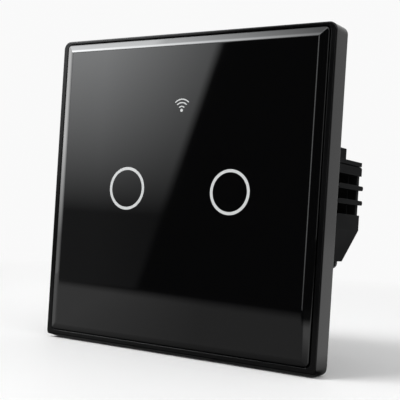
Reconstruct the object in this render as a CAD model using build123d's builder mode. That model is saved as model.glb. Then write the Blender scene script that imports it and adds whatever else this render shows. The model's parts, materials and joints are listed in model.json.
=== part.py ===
from build123d import *
from math import radians, sin
import os

# Two-gang touch light switch for a flush box. Lengths are in millimetres.
# X runs to the right and Z up as one faces the switch. The wall is the plane y = 0: the panel stands
# in front of it, towards -Y, and the housing reaches behind it, towards +Y.

# Front panel
panel_corner = 2.2
side_lip = 1.65
top_lip = 0.93
lip_round = 0.3
lip_edge = 0.22
side_wall = 1.6
rear_chamfer = 0.3
tray_wall = 1.8
undercut_height = 1.05
undercut_depth = 3.4
notch_width = 4.4
notch_height = 1.3
notch_depth = 1.0
notch_places = (-9.6, 16.1)

# Glass and its tape
glass_gap = 0.25
glass_thickness = 3.0
glass_proud = 0.95
glass_corner = 1.3
bevel_width = 2.0
bevel_drop = 0.7
bevel_crown = 2.4
glass_edge = 0.25
tape_thickness = 0.25
tape_width = 5.0
tape_inset = 1.0

# Touch rings and the signal pictogram
ring_spacing = 33.2
ring_height = 0.8
guide_outer = 12.6
guide_inner = 9.8
guide_flange = 14.4
flange_thickness = 1.0
guide_clearance = 0.3
signal_width = 5.6
signal_low = 19.6
signal_high = 25.5
stem_width = 3.0
stem_height = 2.0
spring_radius = 3.4
spring_wire = 0.35
spring_turns = 4.0
spring_sides = 8

# Touch board and the inner cover that closes the front unit
board_thickness = 1.6
touch_board_front = 3.2
cover_room = 0.4
cover_low = -15.4
cover_shoulder = 15.0
cover_tongue_half = 11.5
cover_corner = 3.0
cover_wall = 1.2
parts_room = 3.0
board_clearance = 0.4
pillar_radius = 2.1
pillar_gap = 0.3
small_screw_radius = 1.0
small_head_radius = 1.8
small_head_height = 1.2
small_screw_length = 9.0
screw_fit = 0.06
head_sink = 0.2
screw_pass = 0.2

# Parts on the touch board
led_length = 1.6
led_width = 0.8
led_height = 0.6
chip_width = 5.0
chip_length = 4.4
chip_height = 1.1
chip_place = (4.0, 15.0)
radio_width = 16.0
radio_length = 12.6
radio_thickness = 0.8
radio_place = (-9.0, -3.4)
shield_width = 14.4
shield_length = 8.6
shield_height = 1.9
shield_round = 0.5
plug_place = (10.0, -5.0)
pin_pitch = 2.54
pin_columns = 4
pin_rows = 2
pin_side = 0.64
plug_height = 2.5
plug_margin = 0.15

# Mounting plate and its fixings
plate_corner = 5.0
plate_thickness = 1.2
plate_clearance = 0.8
plate_edge_gap = 5.9
slot_width = 3.6
slot_length = 7.0
slot_gap = 0.5
slot_edge = 2.0
relief_width = 9.0
relief_margin = 0.1
bead_width = 3.0
bead_length = 26.0
bead_height = 0.5
bead_gap = 0.95
bead_inset = 4.7
bead_slope = 45
hook_width = 4.0
hook_thickness = 1.2
hook_barb = 0.5
hook_reach = 1.2
hook_clearance = 0.3
hook_set_off = 1.3
top_hook_side = 16.5
low_hook_side = 14.0
plate_screw_radius = 1.25
plate_head_radius = 2.4
plate_head_depth = 0.9
plate_screw_length = 9.0
top_screw_inset = (5.7, 5.2)
low_screw_inset = (9.5, 3.5)
boss_radius = 2.3
boss_depth = 10.0

# Housing body: the front drum
drum_side_room = 1.5
drum_top_room = 1.2
body_corner = 12.0
body_wall = 1.6
body_back_wall = 1.4
boss_room = 2.0
boss_gap = 1.0
window_rim = 0.4
window_corner = 1.5

# Rear cover: the vented rear shell
shell_ledge = 8.5
shell_low = -15.8
shell_head_room = 1.4
shell_rear_room = 2.4
shell_wall = 1.6
shell_back_wall = 2.0
slant_rise = 9.2
slant_inset = 4.5
slant_round = 26.0
low_corner = 1.3
top_corner = 0.7
shell_edge = 0.7
vent_rise = 4.4
vent_recess = 0.9
vent_count = 3
vent_gap = 2.9
rib_thickness = 1.3
rib_proud = 0.45
vent_set_off = 2.0
vent_front_post = 1.5
vent_rear_post = 1.6
rear_vent_count = 5
rear_vent_width = 1.6
rear_vent_length = 13.0
rear_vent_pitch = 4.2
rear_vent_height = -2.5

# Screws that hold the rear cover, and their lugs
lug_radius = 1.75
lug_inset = 2.8
lug_drop = 0.55
lug_set_back = 2.4
cover_screw_radius = 1.25
cover_screw_head = 1.5
cover_screw_room = 1.6

# Terminal housing
flange_slit = 0.08
terminal_flange = 1.1
shoulder_inset = 5.0
shoulder_height = 4.1
terminal_wall = 1.6
terminal_count = 4
terminal_web = 2.0
chamber_floor = 1.32
chamber_height = 7.5
wire_radius = 2.2
access_radius = 2.3
terminal_edge = 1.0

# Terminals: current bar, clamp cage and screw
bar_width = 3.6
bar_thickness = 0.9
bar_leg = 1.0
bar_gap = 0.2
bar_foot_room = 0.3
bar_head_room = 0.8
clamp_width = 6.6
clamp_side_room = 0.7
clamp_cheek = 1.0
clamp_stand = 5.0
clamp_foot_room = 0.6
clamp_head_room = 0.4
clamp_floor = 1.2
clamp_nut = 1.4
clamp_opening = 4.8
clamp_travel = 2.5
clamp_fit = 0.08
terminal_screw_radius = 1.5
terminal_head_radius = 2.5
terminal_head_height = 1.9
head_gap = 0.6
head_room = 0.5
tip_gap = 0.1

# Power board and the socket on its front face
power_board_edge = 0.5
board_notch = 0.5
board_screw_side = 12.0
board_screw_length = 6.0
board_boss_depth = 4.0
socket_height = 8.5
socket_gap = 0.5
socket_margin = 0.3
socket_hole = 1.24
socket_floor = 1.0
pin_room = 1.7

# Spaces between the parts on the power board
edge_space = 0.85
part_space = 0.7

# Relays: lengths along the relay are measured from its middle, heights from the board
relay_width = 10.2
relay_length = 18.4
relay_height = 15.3
relay_skin = 0.7
relay_lift = 0.3
relay_base_gap = 0.15
relay_base_height = 1.6
relay_round = 0.5
yoke_space = 0.5
yoke_side_room = 1.0
yoke_thickness = 1.2
yoke_round = 0.5
yoke_reach = 3.2
coil_side_gap = 0.2
pole_height = 0.8
pole_inset = 1.0
pole_gap = 0.08
bobbin_room = 0.5
bobbin_flange = 0.7
bobbin_sleeve = 0.45
bobbin_fit = 0.05
coil_inset = 0.3
coil_build = 2.1
coil_fit = 0.05
armature_gap = 0.1
armature_overhang = 0.2
armature_reach = 1.0
armature_thickness = 1.0
armature_inset = 0.2
armature_room = 0.9
armature_tilt = 3.5
leaf_lap = 1.2
leaf_width = 4.0
leaf_thickness = 0.3
contact_inset = 1.6
contact_radius = 0.9
contact_height = 0.6
contact_gap = 0.1
post_width = 3.2
post_thickness = 0.6
post_button = 0.5

# Transformer
core_width = 14.0
core_length = 13.0
core_thickness = 6.0
core_limb = 2.2
core_leg = 3.6
core_yoke = 2.2
base_gap = 0.6
bobbin_base = 2.4
winding_gap = 0.4
winding_build = 2.6
sleeve_wall = 0.5
sleeve_fit = 0.05
flange_plate = 0.8
winding_round = 1.5

# Parts on the power board's rear face
input_can_radius = 4.9
input_can_height = 16.0
can_groove = 0.4
can_groove_height = 2.0
can_round = 0.5
film_width = 13.0
film_length = 6.0
film_height = 11.5
film_round = 0.6
varistor_radius = 3.6
varistor_thickness = 3.2
varistor_lift = 1.4
lead_radius = 0.3
lead_spacing = 5.0
fuse_radius = 1.4
fuse_length = 8.0
fuse_lift = 1.9
fuse_lead_reach = 1.4

# Parts on the power board's front face
rectifier_place = (-12.0, 6.0)
rectifier_width = 6.4
rectifier_length = 5.0
rectifier_height = 2.4
regulator_place = (-12.0, -4.0)
regulator_width = 4.9
regulator_length = 3.9
regulator_height = 1.5
leg_reach = 0.9
leg_width = 0.5
leg_pitch = 1.27
leg_count = 4
leg_height = 0.3
output_can_place = (-4.0, -14.0)
output_can_radius = 3.15
output_can_length = 11.0
choke_place = (14.0, 9.0)
choke_radius = 3.6
choke_height = 6.5
choke_flange = 1.0
choke_waist = 2.3

# A cut runs past the piece by this much, and a cross recess takes these shares of its screw head
overrun = 1.0
cross_length_share = 1.2
cross_width_share = 0.3

# Depths of the front unit, worked out from the sizes above
tray_back = -(plate_thickness + bead_height + bead_gap)
tray_front = tray_back - tray_wall
glass_back = tray_front - tape_thickness
glass_front = glass_back - glass_thickness
panel_depth = -glass_front - glass_proud
lip_front = -panel_depth
touch_board_back = touch_board_front + board_thickness
cover_back = touch_board_back + parts_room + cover_wall
led_front = touch_board_front - led_height
guide_back = led_front - head_sink

# Depths of the wall unit
power_board_front = cover_back + socket_gap + socket_height
power_board_back = power_board_front + board_thickness
body_back = power_board_back + body_back_wall
pin_back = power_board_front - socket_floor - pin_room
shell_back = power_board_back + input_can_height + shell_rear_room + shell_back_wall
lug_boss_depth = body_back - cover_back - boss_gap
lug_back = shell_back - lug_set_back
cover_screw_length = lug_back - body_back + lug_boss_depth - cover_screw_room
vent_front = body_back + vent_set_off
vent_window_front = vent_front + vent_front_post
vent_window_back = shell_back - vent_rear_post

# The parts behind the power board stand in columns, which give the window and the rear cover their size
column_width = 2 * relay_width + 2 * input_can_radius + core_width + 3 * part_space
window_half_width = column_width / 2 + edge_space
window_low = shell_low + shell_wall + window_rim
relay_column = relay_length + 2 * fuse_radius + 2 * part_space
window_high = window_low + relay_column + shell_head_room
shell_top = window_high + shell_wall
shell_half_width = window_half_width + shell_ledge
slant_half_width = shell_half_width - slant_inset
slant_start = shell_low + slant_rise
vent_low = slant_start + vent_rise

# Outlines of the inner cover and the drum
cover_half_width = ring_spacing / 2 + guide_flange / 2 + cover_room + cover_wall
cover_high = signal_low + stem_height + cover_room + cover_wall
board_screw_height = shell_low - board_notch - boss_radius
body_half_width = cover_half_width + drum_side_room + body_wall
body_high = cover_high + drum_top_room + body_wall
body_low = board_screw_height - boss_radius - boss_room - body_wall
pillar_inset = cover_wall + pillar_gap + pillar_radius

# The slots clear the drum at their standard 60 mm pitch, and the panel has its standard 86 mm
slot_pitch = 2 * (max(body_high, -body_low) + slot_gap) + slot_length
plate_size = slot_pitch + slot_length + 2 * slot_edge
panel_size = plate_size + 2 * (plate_edge_gap + side_wall)
glass_size = panel_size - 2 * (side_lip + glass_gap)
glass_height = (panel_size - glass_size) / 2 - top_lip - glass_gap
seat_size = glass_size + 2 * glass_gap

# Terminals
chamber_width = clamp_width + 2 * clamp_side_room
terminal_pitch = chamber_width + terminal_web
shoulder_half_width = shell_half_width - shoulder_inset
flange_low = shell_top + flange_slit
flange_high = flange_low + terminal_flange
shoulder_top = flange_high + shoulder_height
chamber_low = flange_high + chamber_floor
chamber_high = chamber_low + chamber_height
block_high = chamber_high + terminal_wall
bar_low = chamber_low + bar_foot_room
bar_high = chamber_high - bar_head_room
clamp_low = bar_low + bar_leg + clamp_foot_room
clamp_high = chamber_high - clamp_head_room
clamp_middle = (clamp_low + clamp_high) / 2
clamp_front = power_board_back + clamp_stand
bar_back = clamp_front + clamp_floor + clamp_opening - bar_gap
clamp_back = clamp_front + clamp_floor + clamp_opening + clamp_nut
wire_center = (clamp_front + clamp_floor + bar_back - bar_thickness) / 2
terminal_head_front = clamp_back + clamp_travel + head_gap
terminal_back = terminal_head_front + terminal_head_height + head_room + terminal_wall

# Places seen from the front, as (x, z)
ring_places = (-ring_spacing / 2, ring_spacing / 2)
guide_ring = (guide_outer + guide_inner) / 4
stem_center = signal_low + stem_height / 2
slot_places = (-slot_pitch / 2, slot_pitch / 2)
pillar_side = cover_half_width - pillar_inset
pillar_heights = (cover_low + pillar_inset, cover_shoulder - pillar_inset)
pillar_places = [(side * pillar_side, z) for side in (-1, 1) for z in pillar_heights]
lug_places = [(side * (slant_half_width - lug_inset), shell_low - lug_drop) for side in (-1, 1)]
board_screw_places = [(side * board_screw_side, board_screw_height) for side in (-1, 1)]
top_screw_side = body_half_width - top_screw_inset[0]
low_screw_side = body_half_width - low_screw_inset[0]
plate_screw_places = [(side * top_screw_side, body_high - top_screw_inset[1]) for side in (-1, 1)]
plate_screw_places += [(side * low_screw_side, body_low + low_screw_inset[1]) for side in (-1, 1)]
hook_rise = hook_set_off + hook_thickness / 2
top_hook_places = [(side * top_hook_side, cover_shoulder + hook_rise) for side in (-1, 1)]
low_hook_places = [(side * low_hook_side, cover_low - hook_rise) for side in (-1, 1)]
relief_low = slot_pitch / 2 - slot_length / 2 - relief_margin
relief_high = slot_pitch / 2 + slot_length / 2 + relief_margin
terminal_places = [(i - (terminal_count - 1) / 2) * terminal_pitch for i in range(terminal_count)]
block_half_width = terminal_places[-1] + chamber_width / 2 + terminal_wall

# Columns of parts behind the power board, from the window's left edge
relay_left = -window_half_width + edge_space + relay_width / 2
relay_right = relay_left + relay_width + part_space
relay_places = {"left": relay_left, "right": relay_right}
relay_center = window_low + part_space + relay_length / 2
can_x = relay_right + relay_width / 2 + part_space + input_can_radius
input_can_place = (can_x, window_low + part_space + input_can_radius)
transformer_x = can_x + input_can_radius + part_space + core_width / 2
transformer_place = (transformer_x, window_low + part_space + core_length / 2)
film_place = (transformer_x, transformer_place[1] + core_length / 2 + part_space + film_length / 2)
varistor_place = (can_x, input_can_place[1] + input_can_radius + part_space + varistor_thickness)
fuse_place = ((relay_left + relay_right) / 2, relay_center + relay_length / 2 + part_space + fuse_radius)

# Inside a relay: the yoke's rounded top edge is the armature's pivot
yoke_width = relay_width - 2 * (relay_skin + yoke_side_room)
yoke_front = relay_skin + yoke_space - relay_length / 2
bobbin_radius = relay_width / 2 - relay_skin - bobbin_room
coil_radius = bobbin_radius - coil_inset
core_radius = coil_radius - coil_build
coil_place = yoke_front + yoke_thickness + coil_side_gap + bobbin_radius
yoke_rear = coil_place + yoke_reach
pole_radius = bobbin_radius - pole_inset
pivot_place = yoke_front + yoke_thickness / 2
contact_place = relay_length / 2 - relay_skin - contact_inset
leaf_rear = contact_place + contact_radius
armature_front = yoke_front - armature_overhang
armature_rear = coil_place + pole_radius + armature_reach
leaf_front = armature_rear - leaf_lap
armature_width = yoke_width - 2 * armature_inset
armature_low = relay_height - relay_skin - armature_room - armature_thickness
yoke_top = armature_low - armature_gap

# The armature's tilt brings it to the pole and its contact to the fixed one, but for small gaps
tilt_slope = sin(radians(armature_tilt))
pole_top = armature_low - (coil_place + pole_radius - pivot_place) * tilt_slope - pole_gap
contact_drop = (contact_place + contact_radius - pivot_place) * tilt_slope
fixed_top = armature_low - contact_height - contact_drop - contact_gap

# Transformer
winding_width = core_width - 2 * (core_limb + winding_gap)
winding_depth = core_thickness + 2 * winding_build
core_lift = bobbin_base + base_gap + winding_build


def layer(rear):
    """Front-view sketch plane at a depth: extruding by (rear - front) fills towards the front."""
    return Plane.XZ.offset(-rear)


def save(builder, name):
    """Label a finished piece and write it as its own STEP file."""
    builder.part.label = name
    export_step(builder.part, f"parts/{name}.step")


def cover_outline(grow):
    """Outline of the inner cover, grown all round: a wide part and a tongue above it."""
    height = cover_shoulder - cover_low + 2 * grow
    with Locations((0, (cover_shoulder + cover_low) / 2)):
        RectangleRounded(2 * (cover_half_width + grow), height, cover_corner)
    tongue_low = cover_shoulder - cover_corner
    with Locations((0, (cover_high + grow + tongue_low) / 2)):
        Rectangle(2 * (cover_tongue_half + grow), cover_high + grow - tongue_low)


def body_outline(inset):
    """Outline of the drum, drawn in by an inset."""
    with Locations((0, (body_low + body_high) / 2)):
        width = 2 * (body_half_width - inset)
        RectangleRounded(width, body_high - body_low - 2 * inset, body_corner - inset)


def shell_outline(inset):
    """Outline of the rear cover, drawn in by an inset: straight sides with slanted lower corners."""
    with BuildLine() as outline:
        Polyline(
            (-shell_half_width, shell_top),
            (shell_half_width, shell_top),
            (shell_half_width, slant_start),
            (slant_half_width, shell_low),
            (-slant_half_width, shell_low),
            (-shell_half_width, slant_start),
            close=True,
        )
    make_face(outline.edges())
    corners = vertices()
    rows = corners.group_by(Axis.Y)
    fillet(rows[2], top_corner)
    fillet(rows[1], slant_round)
    fillet(rows[0], low_corner)
    if inset:
        offset(amount=-inset, mode=Mode.REPLACE)


os.makedirs("parts", exist_ok=True)

# Glass panel with its bevel
with BuildPart() as glass_panel:
    with BuildSketch(layer(glass_back)):
        with Locations((0, glass_height)):
            Rectangle(glass_size, glass_size)
    extrude(amount=glass_thickness)
    glass_face = glass_panel.faces().sort_by(Axis.Y)[0]
    chamfer(glass_face.edges(), length=bevel_width, length2=bevel_drop, reference=glass_face)
    fillet(glass_panel.edges().filter_by(Plane.XZ).group_by(Axis.Y)[1], glass_edge)
    fillet(glass_panel.faces().sort_by(Axis.Y)[0].edges(), bevel_crown)
    with BuildSketch(layer(glass_back)):
        with Locations((0, glass_height)):
            RectangleRounded(glass_size, glass_size, glass_corner)
    extrude(amount=glass_thickness, mode=Mode.INTERSECT)
save(glass_panel, "glass_panel")

# Adhesive frame between the glass and the tray
with BuildPart() as mounting_tape:
    with BuildSketch(layer(tray_front)):
        tape_size = glass_size - 2 * tape_inset
        with Locations((0, glass_height)):
            RectangleRounded(tape_size, tape_size, glass_corner)
            Rectangle(tape_size - 2 * tape_width, tape_size - 2 * tape_width, mode=Mode.SUBTRACT)
    extrude(amount=tape_thickness)
save(mounting_tape, "mounting_tape")

# Panel frame: a shallow tray, open towards the wall, that carries the glass and the touch board
with BuildPart() as panel_frame:
    with BuildSketch(layer(0)):
        RectangleRounded(panel_size, panel_size, panel_corner)
    extrude(amount=panel_depth)
    with BuildSketch(Plane.YZ.offset(-panel_size / 2 - overrun)):
        with BuildLine():
            Polyline(
                (lip_front - overrun, -panel_size / 2 - overrun),
                (lip_front - overrun, -panel_size / 2 + undercut_height),
                (lip_front, -panel_size / 2 + undercut_height),
                (lip_front + undercut_depth, -panel_size / 2),
                (lip_front + undercut_depth, -panel_size / 2 - overrun),
                close=True,
            )
        make_face()
    extrude(amount=panel_size + 2 * overrun, mode=Mode.SUBTRACT)
    fillet(panel_frame.faces().sort_by(Axis.Y)[0].edges(), lip_round)
    chamfer(panel_frame.faces().sort_by(Axis.Y)[-1].edges(), rear_chamfer)
    with BuildSketch(layer(tray_front)):
        with Locations((0, glass_height)):
            RectangleRounded(seat_size, seat_size, glass_corner + glass_gap)
    extrude(amount=panel_depth, mode=Mode.SUBTRACT)
    fillet(panel_frame.faces().sort_by(Axis.Y)[0].inner_wires()[0].edges(), lip_edge)
    with BuildSketch(layer(overrun)):
        pocket = panel_size - 2 * side_wall
        RectangleRounded(pocket, pocket, panel_corner - side_wall)
    extrude(amount=overrun - tray_back, mode=Mode.SUBTRACT)
    with BuildSketch(layer(tray_back + overrun)):
        with Locations(*[(x, ring_height) for x in ring_places]):
            Circle(guide_outer / 2 + guide_clearance)
        with Locations((0, (signal_low + signal_high) / 2)):
            window_height = signal_high - signal_low + guide_clearance
            Rectangle(signal_width + guide_clearance, window_height)
        with Locations(*[(0, side * (relief_low + relief_high) / 2) for side in (-1, 1)]):
            Rectangle(relief_width, relief_high - relief_low)
    extrude(amount=tray_wall + 2 * overrun, mode=Mode.SUBTRACT)
    with BuildSketch(layer(touch_board_front)):
        with Locations(*pillar_places):
            Circle(pillar_radius)
    extrude(amount=touch_board_front - tray_back)
    with BuildSketch(layer(touch_board_front + overrun)):
        with Locations(*pillar_places):
            Circle(small_screw_radius + screw_fit)
    extrude(amount=touch_board_front + overrun - tray_back, mode=Mode.SUBTRACT)
    hook_back = hook_reach + hook_clearance
    with BuildSketch(layer(hook_back)):
        with Locations(*top_hook_places, *low_hook_places):
            Rectangle(hook_width, hook_thickness)
    extrude(amount=hook_back - tray_back)
    for places, outward in ((top_hook_places, 1), (low_hook_places, -1)):
        with BuildSketch(layer(hook_back)):
            rise = outward * (hook_thickness + hook_barb) / 2
            with Locations(*[(x, z + rise) for x, z in places]):
                Rectangle(hook_width, hook_barb)
        extrude(amount=hook_reach - hook_clearance)
    with BuildSketch(layer(lip_front + notch_depth)):
        with Locations(*[(x, -panel_size / 2) for x in notch_places]):
            Rectangle(notch_width, 2 * notch_height)
    extrude(amount=notch_depth + overrun, mode=Mode.SUBTRACT)
save(panel_frame, "panel_frame")

# Light guides: clear tubes from the lamps to the touch rings
with BuildPart() as light_guides:
    with BuildSketch(layer(guide_back)):
        with Locations(*[(x, ring_height) for x in ring_places]):
            Circle(guide_outer / 2)
    extrude(amount=guide_back - glass_back)
    with BuildSketch(layer(tray_back + flange_thickness)):
        with Locations(*[(x, ring_height) for x in ring_places]):
            Circle(guide_flange / 2)
    extrude(amount=flange_thickness)
    with BuildSketch(layer(guide_back + overrun)):
        with Locations(*[(x, ring_height) for x in ring_places]):
            Circle(guide_inner / 2)
    extrude(amount=guide_back - glass_back + 2 * overrun, mode=Mode.SUBTRACT)
save(light_guides, "light_guides")

# Light pipe behind the signal pictogram, with a stem to its lamp
with BuildPart() as signal_light_guide:
    with BuildSketch(layer(tray_back)):
        with Locations((0, (signal_low + signal_high) / 2)):
            Rectangle(signal_width, signal_high - signal_low)
    extrude(amount=tray_back - glass_back)
    with BuildSketch(layer(guide_back)):
        with Locations((0, stem_center)):
            Rectangle(stem_width, stem_height)
    extrude(amount=guide_back - tray_back)
save(signal_light_guide, "signal_light_guide")

# Touch springs: coils that press on the back of the glass
spring_height = touch_board_front - glass_back - 2 * spring_wire
with BuildPart() as touch_springs:
    for x in ring_places:
        start = (x, touch_board_front - spring_wire, ring_height)
        with BuildLine() as coil_line:
            pitch = spring_height / spring_turns
            Helix(pitch, spring_height, spring_radius, center=start, direction=(0, -1, 0))
        with BuildSketch(coil_line.line ^ 0):
            RegularPolygon(spring_wire, spring_sides)
        sweep(path=coil_line.line, is_frenet=True)
save(touch_springs, "touch_springs")

# Touch board
with BuildPart() as touch_board:
    with BuildSketch(layer(touch_board_back)):
        cover_outline(-cover_wall - board_clearance)
        with Locations(*pillar_places):
            Circle(small_screw_radius + screw_pass, mode=Mode.SUBTRACT)
    extrude(amount=board_thickness)
save(touch_board, "touch_board")

# Indicator lamps: two under each light guide and one under the stem
led_places = [(x, ring_height + side * guide_ring) for x in ring_places for side in (-1, 1)]
led_places.append((0, stem_center))
with BuildPart() as indicator_leds:
    with BuildSketch(layer(touch_board_front)):
        with Locations(*led_places):
            Rectangle(led_length, led_width)
    extrude(amount=led_height)
save(indicator_leds, "indicator_leds")

# Touch controller
with BuildPart() as touch_chip:
    with BuildSketch(layer(touch_board_back + chip_height)):
        with Locations(chip_place):
            Rectangle(chip_width, chip_length)
    extrude(amount=chip_height)
save(touch_chip, "touch_chip")

# Wireless module: a small board and its metal can
radio_back = touch_board_back + radio_thickness
with BuildPart() as radio_board:
    with BuildSketch(layer(radio_back)):
        with Locations(radio_place):
            Rectangle(radio_width, radio_length)
    extrude(amount=radio_thickness)
save(radio_board, "radio_board")

with BuildPart() as radio_shield:
    shield_z = radio_place[1] - (radio_length - shield_length) / 2 + (radio_width - shield_width) / 2
    with BuildSketch(layer(radio_back + shield_height)):
        with Locations((radio_place[0], shield_z)):
            Rectangle(shield_width, shield_length)
    extrude(amount=shield_height)
    fillet(radio_shield.edges().filter_by(Axis.Y), shield_round)
save(radio_shield, "radio_shield")

# Plug of the front unit
plug_width = pin_columns * pin_pitch - 2 * plug_margin
plug_length = pin_rows * pin_pitch - 2 * plug_margin
with BuildPart() as header_plug:
    with BuildSketch(layer(touch_board_back + plug_height)):
        with Locations(plug_place):
            Rectangle(plug_width, plug_length)
    extrude(amount=plug_height)
    with BuildSketch(layer(pin_back)):
        with Locations(plug_place):
            with GridLocations(pin_pitch, pin_pitch, pin_columns, pin_rows):
                Rectangle(pin_side, pin_side)
    extrude(amount=pin_back - touch_board_back - plug_height)
save(header_plug, "header_plug")

# Inner cover: closes the front unit and reaches into the drum
with BuildPart() as inner_cover:
    with BuildSketch(layer(cover_back)):
        cover_outline(0)
    extrude(amount=cover_back - tray_back)
    with BuildSketch(layer(cover_back - cover_wall)):
        cover_outline(-cover_wall)
    extrude(amount=cover_back - cover_wall - tray_back, mode=Mode.SUBTRACT)
    with BuildSketch(layer(cover_back - cover_wall)):
        with Locations(*pillar_places):
            Circle(pillar_radius)
    extrude(amount=cover_back - cover_wall - touch_board_back)
    with BuildSketch(layer(cover_back + overrun)):
        with Locations(*pillar_places):
            Circle(small_head_radius + screw_pass)
    extrude(amount=overrun + small_head_height + head_sink, mode=Mode.SUBTRACT)
    with BuildSketch(layer(cover_back)):
        with Locations(*pillar_places):
            Circle(small_screw_radius + screw_pass)
    extrude(amount=cover_back - touch_board_back, mode=Mode.SUBTRACT)
    with BuildSketch(layer(cover_back + overrun)):
        with Locations(plug_place):
            Rectangle(plug_width + 2 * board_clearance, plug_length + 2 * board_clearance)
    extrude(amount=cover_wall + 2 * overrun, mode=Mode.SUBTRACT)
save(inner_cover, "inner_cover")


def pan_screws(places, head_back, head_radius, head_height, radius, length):
    """Pan head screws that enter from the rear, with a cross recess in each head."""
    with BuildPart() as screws:
        with BuildSketch(layer(head_back)):
            with Locations(*places):
                Circle(head_radius)
        extrude(amount=head_height)
        with BuildSketch(layer(head_back - head_height)):
            with Locations(*places):
                Circle(radius)
        extrude(amount=length)
        arm = head_radius * cross_length_share
        groove = head_radius * cross_width_share
        with BuildSketch(layer(head_back)):
            with Locations(*places):
                Rectangle(arm, groove)
                Rectangle(groove, arm)
        extrude(amount=head_height / 2, mode=Mode.SUBTRACT)
    return screws


inner_cover_screws = pan_screws(
    pillar_places,
    cover_back - head_sink / 2,
    small_head_radius,
    small_head_height,
    small_screw_radius,
    small_screw_length,
)
save(inner_cover_screws, "inner_cover_screws")

# Mounting plate: steel, with two slots on the 60 mm pitch and an opening for the front unit
with BuildPart() as mounting_plate:
    with BuildSketch(layer(0)):
        RectangleRounded(plate_size, plate_size, plate_corner)
        with Locations(*[(0, z) for z in slot_places]):
            SlotOverall(slot_length, slot_width, rotation=90, mode=Mode.SUBTRACT)
        with Locations(*top_hook_places, *low_hook_places):
            room = 2 * (hook_barb + hook_clearance)
            Rectangle(hook_width + 2 * hook_clearance, hook_thickness + room, mode=Mode.SUBTRACT)
    extrude(amount=plate_thickness)
    with BuildSketch(layer(overrun)):
        cover_outline(plate_clearance)
    extrude(amount=plate_thickness + 2 * overrun, mode=Mode.SUBTRACT)
    with Locations(Plane.XZ.offset(plate_thickness)):
        with Locations(*plate_screw_places):
            CounterSinkHole(plate_screw_radius + screw_pass, plate_head_radius + screw_pass)
    with BuildSketch(layer(-plate_thickness)):
        with Locations(*[(side * (plate_size / 2 - bead_inset), 0) for side in (-1, 1)]):
            SlotOverall(bead_length, bead_width, rotation=90)
    extrude(amount=bead_height, taper=bead_slope)
save(mounting_plate, "mounting_plate")

# Countersunk screws that join the plate to the drum
with BuildPart() as plate_screws:
    with BuildSketch(layer(plate_screw_length - plate_thickness)):
        with Locations(*plate_screw_places):
            Circle(plate_screw_radius)
    extrude(amount=plate_screw_length)
    for x, z in plate_screw_places:
        with Locations(Location((x, (plate_head_depth - 2 * plate_thickness) / 2, z), (90, 0, 0))):
            Cone(plate_screw_radius, plate_head_radius, plate_head_depth)
    arm = plate_head_radius * cross_length_share
    groove = plate_head_radius * cross_width_share
    with BuildSketch(layer(-plate_thickness)):
        with Locations(*plate_screw_places):
            Rectangle(arm, groove)
            Rectangle(groove, arm)
    extrude(amount=-plate_head_depth / 2, mode=Mode.SUBTRACT)
save(plate_screws, "plate_screws")

# Housing body: the drum behind the plate, with windows in its back wall
with BuildPart() as housing_body:
    with BuildSketch(layer(body_back)):
        body_outline(0)
    extrude(amount=body_back)
    with BuildSketch(layer(power_board_back)):
        body_outline(body_wall)
    extrude(amount=power_board_back, mode=Mode.SUBTRACT)
    with BuildSketch(layer(body_back + overrun)):
        with Locations((0, (window_low + window_high) / 2)):
            RectangleRounded(2 * window_half_width, window_high - window_low, window_corner)
        with Locations((0, (chamber_low + chamber_high) / 2)):
            RectangleRounded(2 * block_half_width - terminal_wall, chamber_height, window_corner)
    extrude(amount=body_back_wall + 2 * overrun, mode=Mode.SUBTRACT)
    with BuildSketch(layer(boss_depth)):
        with Locations(*plate_screw_places):
            Circle(boss_radius)
    extrude(amount=boss_depth)
    with BuildSketch(layer(body_back)):
        with Locations(*lug_places):
            Circle(boss_radius)
    extrude(amount=lug_boss_depth)
    with BuildSketch(layer(body_back + board_boss_depth)):
        with Locations(*board_screw_places):
            Circle(boss_radius)
    extrude(amount=board_boss_depth)
    with BuildSketch(layer(boss_depth - overrun)):
        with Locations(*plate_screw_places):
            Circle(plate_screw_radius + screw_fit)
    extrude(amount=boss_depth, mode=Mode.SUBTRACT)
    with BuildSketch(layer(body_back + overrun)):
        with Locations(*lug_places):
            Circle(cover_screw_radius + screw_fit)
    extrude(amount=lug_boss_depth, mode=Mode.SUBTRACT)
    with BuildSketch(layer(body_back + board_boss_depth - overrun)):
        with Locations(*board_screw_places):
            Circle(small_screw_radius + screw_fit)
    extrude(amount=body_back_wall + board_boss_depth, mode=Mode.SUBTRACT)
save(housing_body, "housing_body")

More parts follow.
